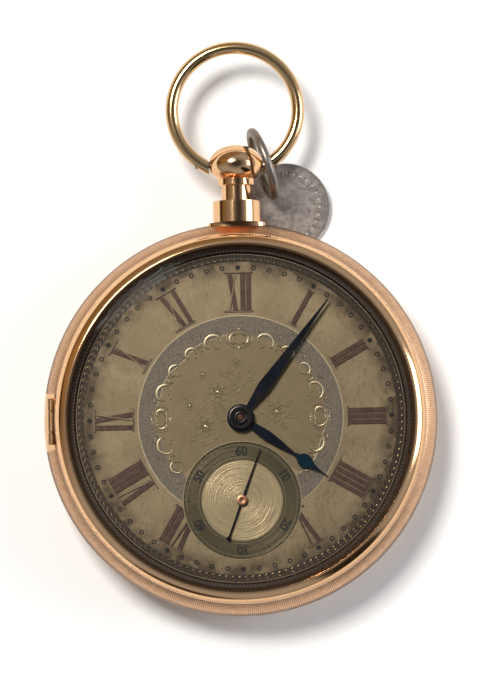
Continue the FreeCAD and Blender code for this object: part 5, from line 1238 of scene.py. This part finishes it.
class WATCH_OT_stage(bpy.types.Operator):
    """Pale floor, soft studio light and the camera"""
    bl_idname = "watch.stage"
    bl_label = "Stage"

    DISTANCE, LENS = 0.70, 318.8  # m from the watch, mm focal length
    ELEVATION, ROLL = 86.0, 1.1  # degrees
    AIM = (1.088, 9.497)  # mm, how far right of and above the case centre the camera aims

    # azimuth, height, inner and outer angle in degrees, colour: what the polished gold mirrors
    PATCHES = ((150, 14, 26, 52, (0.50, 0.34, 0.17)), (104, 14, 18, 34, (0.60, 0.45, 0.27)),
               (158, 30, 7, 13, (0.85, 0.50, 0.16)), (172, 8, 6, 11, (0.10, 0.05, 0.02)),
               (-50, 8, 11.5, 13, (0.04, 0.035, 0.015)),
               (-50, 24, 11.5, 13, (0.03, 0.025, 0.01)), (-52, 38, 10, 11.5, (0.05, 0.04, 0.015)),
               (-112, 4, 14, 22, (0.10, 0.06, 0.03)))
    # height in the room and brightness of the studio there
    STUDIO = ((0.0, 0.55), (0.12, 0.75), (0.35, 1.0), (0.66, 1.0), (0.84, 0.55), (0.93, 0.16), (0.98, 0.08))
    STUDIO_TINT, STUDIO_STRENGTH = (0.92, 0.98, 1.08), 0.46

    def world(self, scene):
        world = bpy.data.worlds.new("studio")
        scene.world = world
        world.use_nodes = True
        tree = world.node_tree
        tree.nodes.clear()
        new, link = tree.nodes.new, tree.links.new
        coord, split = new("ShaderNodeTexCoord"), new("ShaderNodeSeparateXYZ")
        link(coord.outputs["Generated"], split.inputs[0])
        ramp = new("ShaderNodeValToRGB")
        while len(ramp.color_ramp.elements) < len(self.STUDIO):
            ramp.color_ramp.elements.new(0.5)
        for element, (at, grey) in zip(ramp.color_ramp.elements, self.STUDIO):
            element.position, element.color = at, (*(c * grey for c in self.STUDIO_TINT), 1)
        link(split.outputs[2], ramp.inputs[0])
        shade_now = ramp.outputs[0]
        for azimuth, height, inside, outside, color in self.PATCHES:
            mix = new("ShaderNodeMix")
            mix.data_type = "RGBA"
            mix.inputs[7].default_value = (*color, 1)
            link(self.patch(tree, coord, azimuth, height, inside, outside), mix.inputs[0])
            link(shade_now, mix.inputs[6])
            shade_now = mix.outputs[2]
        studio, plain = new("ShaderNodeBackground"), new("ShaderNodeBackground")
        out = new("ShaderNodeOutputWorld")
        studio.inputs[1].default_value = self.STUDIO_STRENGTH
        plain.inputs[0].default_value = (0.86, 0.86, 0.86, 1)
        link(shade_now, studio.inputs[0])
        path, pick = new("ShaderNodeLightPath"), new("ShaderNodeMixShader")
        link(path.outputs["Is Camera Ray"], pick.inputs[0])
        link(studio.outputs[0], pick.inputs[1])
        link(plain.outputs[0], pick.inputs[2])
        link(pick.outputs[0], out.inputs[0])

    @staticmethod
    def patch(tree, coord, azimuth, height, inside, outside):
        """One darker part of the room: 1 within the inner angle of its direction, 0 past the outer one."""
        new, link = tree.nodes.new, tree.links.new
        dot = new("ShaderNodeVectorMath")
        dot.operation = "DOT_PRODUCT"
        a, z = radians(azimuth), radians(height)
        dot.inputs[1].default_value = (cos(a) * cos(z), sin(a) * cos(z), sin(z))
        link(coord.outputs["Generated"], dot.inputs[0])
        ramp = new("ShaderNodeMapRange")
        ramp.inputs["From Min"].default_value = cos(radians(outside))
        ramp.inputs["From Max"].default_value = cos(radians(inside))
        link(dot.outputs["Value"], ramp.inputs["Value"])
        return ramp.outputs["Result"]

    def light(self, scene, name, place, size, power, color=(1, 1, 1)):
        data = bpy.data.lights.new(name, "AREA")
        data.shape, data.size, data.size_y = "RECTANGLE", *size
        data.energy, data.color = power, color
        obj = bpy.data.objects.new(name, data)
        obj.location = place
        obj.rotation_euler = (Vector((0, 0.008, 0)) - Vector(place)).to_track_quat("-Z", "Y").to_euler()
        scene.collection.objects.link(obj)

    def execute(self, context):
        scene = context.scene
        scene.view_settings.view_transform = "Standard"
        self.world(scene)
        self.light(scene, "key", (-0.22, 0.28, 0.65), (0.26, 0.18), 5.4, (1.0, 0.97, 0.92))
        self.light(scene, "side_card", (0.62, 0.06, 0.30), (0.36, 0.36), 2.2)
        mesh = bpy.data.meshes.new("floor")
        mesh.from_pydata([(-4, -4, 0), (4, -4, 0), (4, 4, 0), (-4, 4, 0)], [], [(0, 1, 2, 3)])
        floor = bpy.data.objects.new("floor", mesh)
        scene.collection.objects.link(floor)
        cover = Shader("floor_card", tuple(colours().floor), 0.0, 0.9)
        cover.feed(cover.mix(cover.noise(0.05, 3.0), tuple(colours().floor), (0.9, 0.9, 0.9)), "Base Color")
        mesh.materials.append(cover.material)
        e, roll = radians(self.ELEVATION), radians(self.ROLL)
        back = Vector((0, -cos(e), sin(e)))
        level_right, level_up = Vector((1, 0, 0)), Vector((0, sin(e), cos(e)))
        up = level_up * cos(roll) + level_right * sin(roll)
        right = level_right * cos(roll) - level_up * sin(roll)
        centre = Vector((0, 0, 0.0057))
        target = centre + (right * self.AIM[0] + up * self.AIM[1]) * MM
        data = bpy.data.cameras.new("camera")
        data.lens = self.LENS
        camera = bpy.data.objects.new("camera", data)
        turn = Matrix((right, up, back)).transposed().to_4x4()
        camera.matrix_world = Matrix.Translation(target + back * self.DISTANCE) @ turn
        scene.collection.objects.link(camera)
        scene.camera = camera
        return {"FINISHED"}


OPERATORS = (WATCH_OT_finishes, WATCH_OT_case, WATCH_OT_wreath, WATCH_OT_minutes, WATCH_OT_medallion,
             WATCH_OT_numerals, WATCH_OT_seconds, WATCH_OT_hubs, WATCH_OT_tag, WATCH_OT_stage)


class WATCH_PT_panel(bpy.types.Panel):
    """Steps and sizes of the pocket watch"""
    bl_idname = "WATCH_PT_panel"
    bl_label = "Pocket watch"
    bl_space_type = "VIEW_3D"
    bl_region_type = "UI"
    bl_category = "Watch"

    def draw(self, context):
        for group in (context.scene.watch_sizes, context.scene.watch_colours):
            box = self.layout.box()
            for name in group.__annotations__:
                box.prop(group, name)
        for operator in OPERATORS:
            self.layout.operator(operator.bl_idname)


CLASSES = (WatchSizes, WatchColours, *OPERATORS, WATCH_PT_panel)


def register():
    for cls in CLASSES:
        bpy.utils.register_class(cls)
    bpy.types.Scene.watch_sizes = bpy.props.PointerProperty(type=WatchSizes)
    bpy.types.Scene.watch_colours = bpy.props.PointerProperty(type=WatchColours)


def unregister():
    del bpy.types.Scene.watch_colours
    del bpy.types.Scene.watch_sizes
    for cls in reversed(CLASSES):
        bpy.utils.unregister_class(cls)


def main():
    register()
    for operator in OPERATORS:
        group, name = operator.bl_idname.split(".")
        getattr(getattr(bpy.ops, group), name)()


if __name__ == "__main__":
    main()
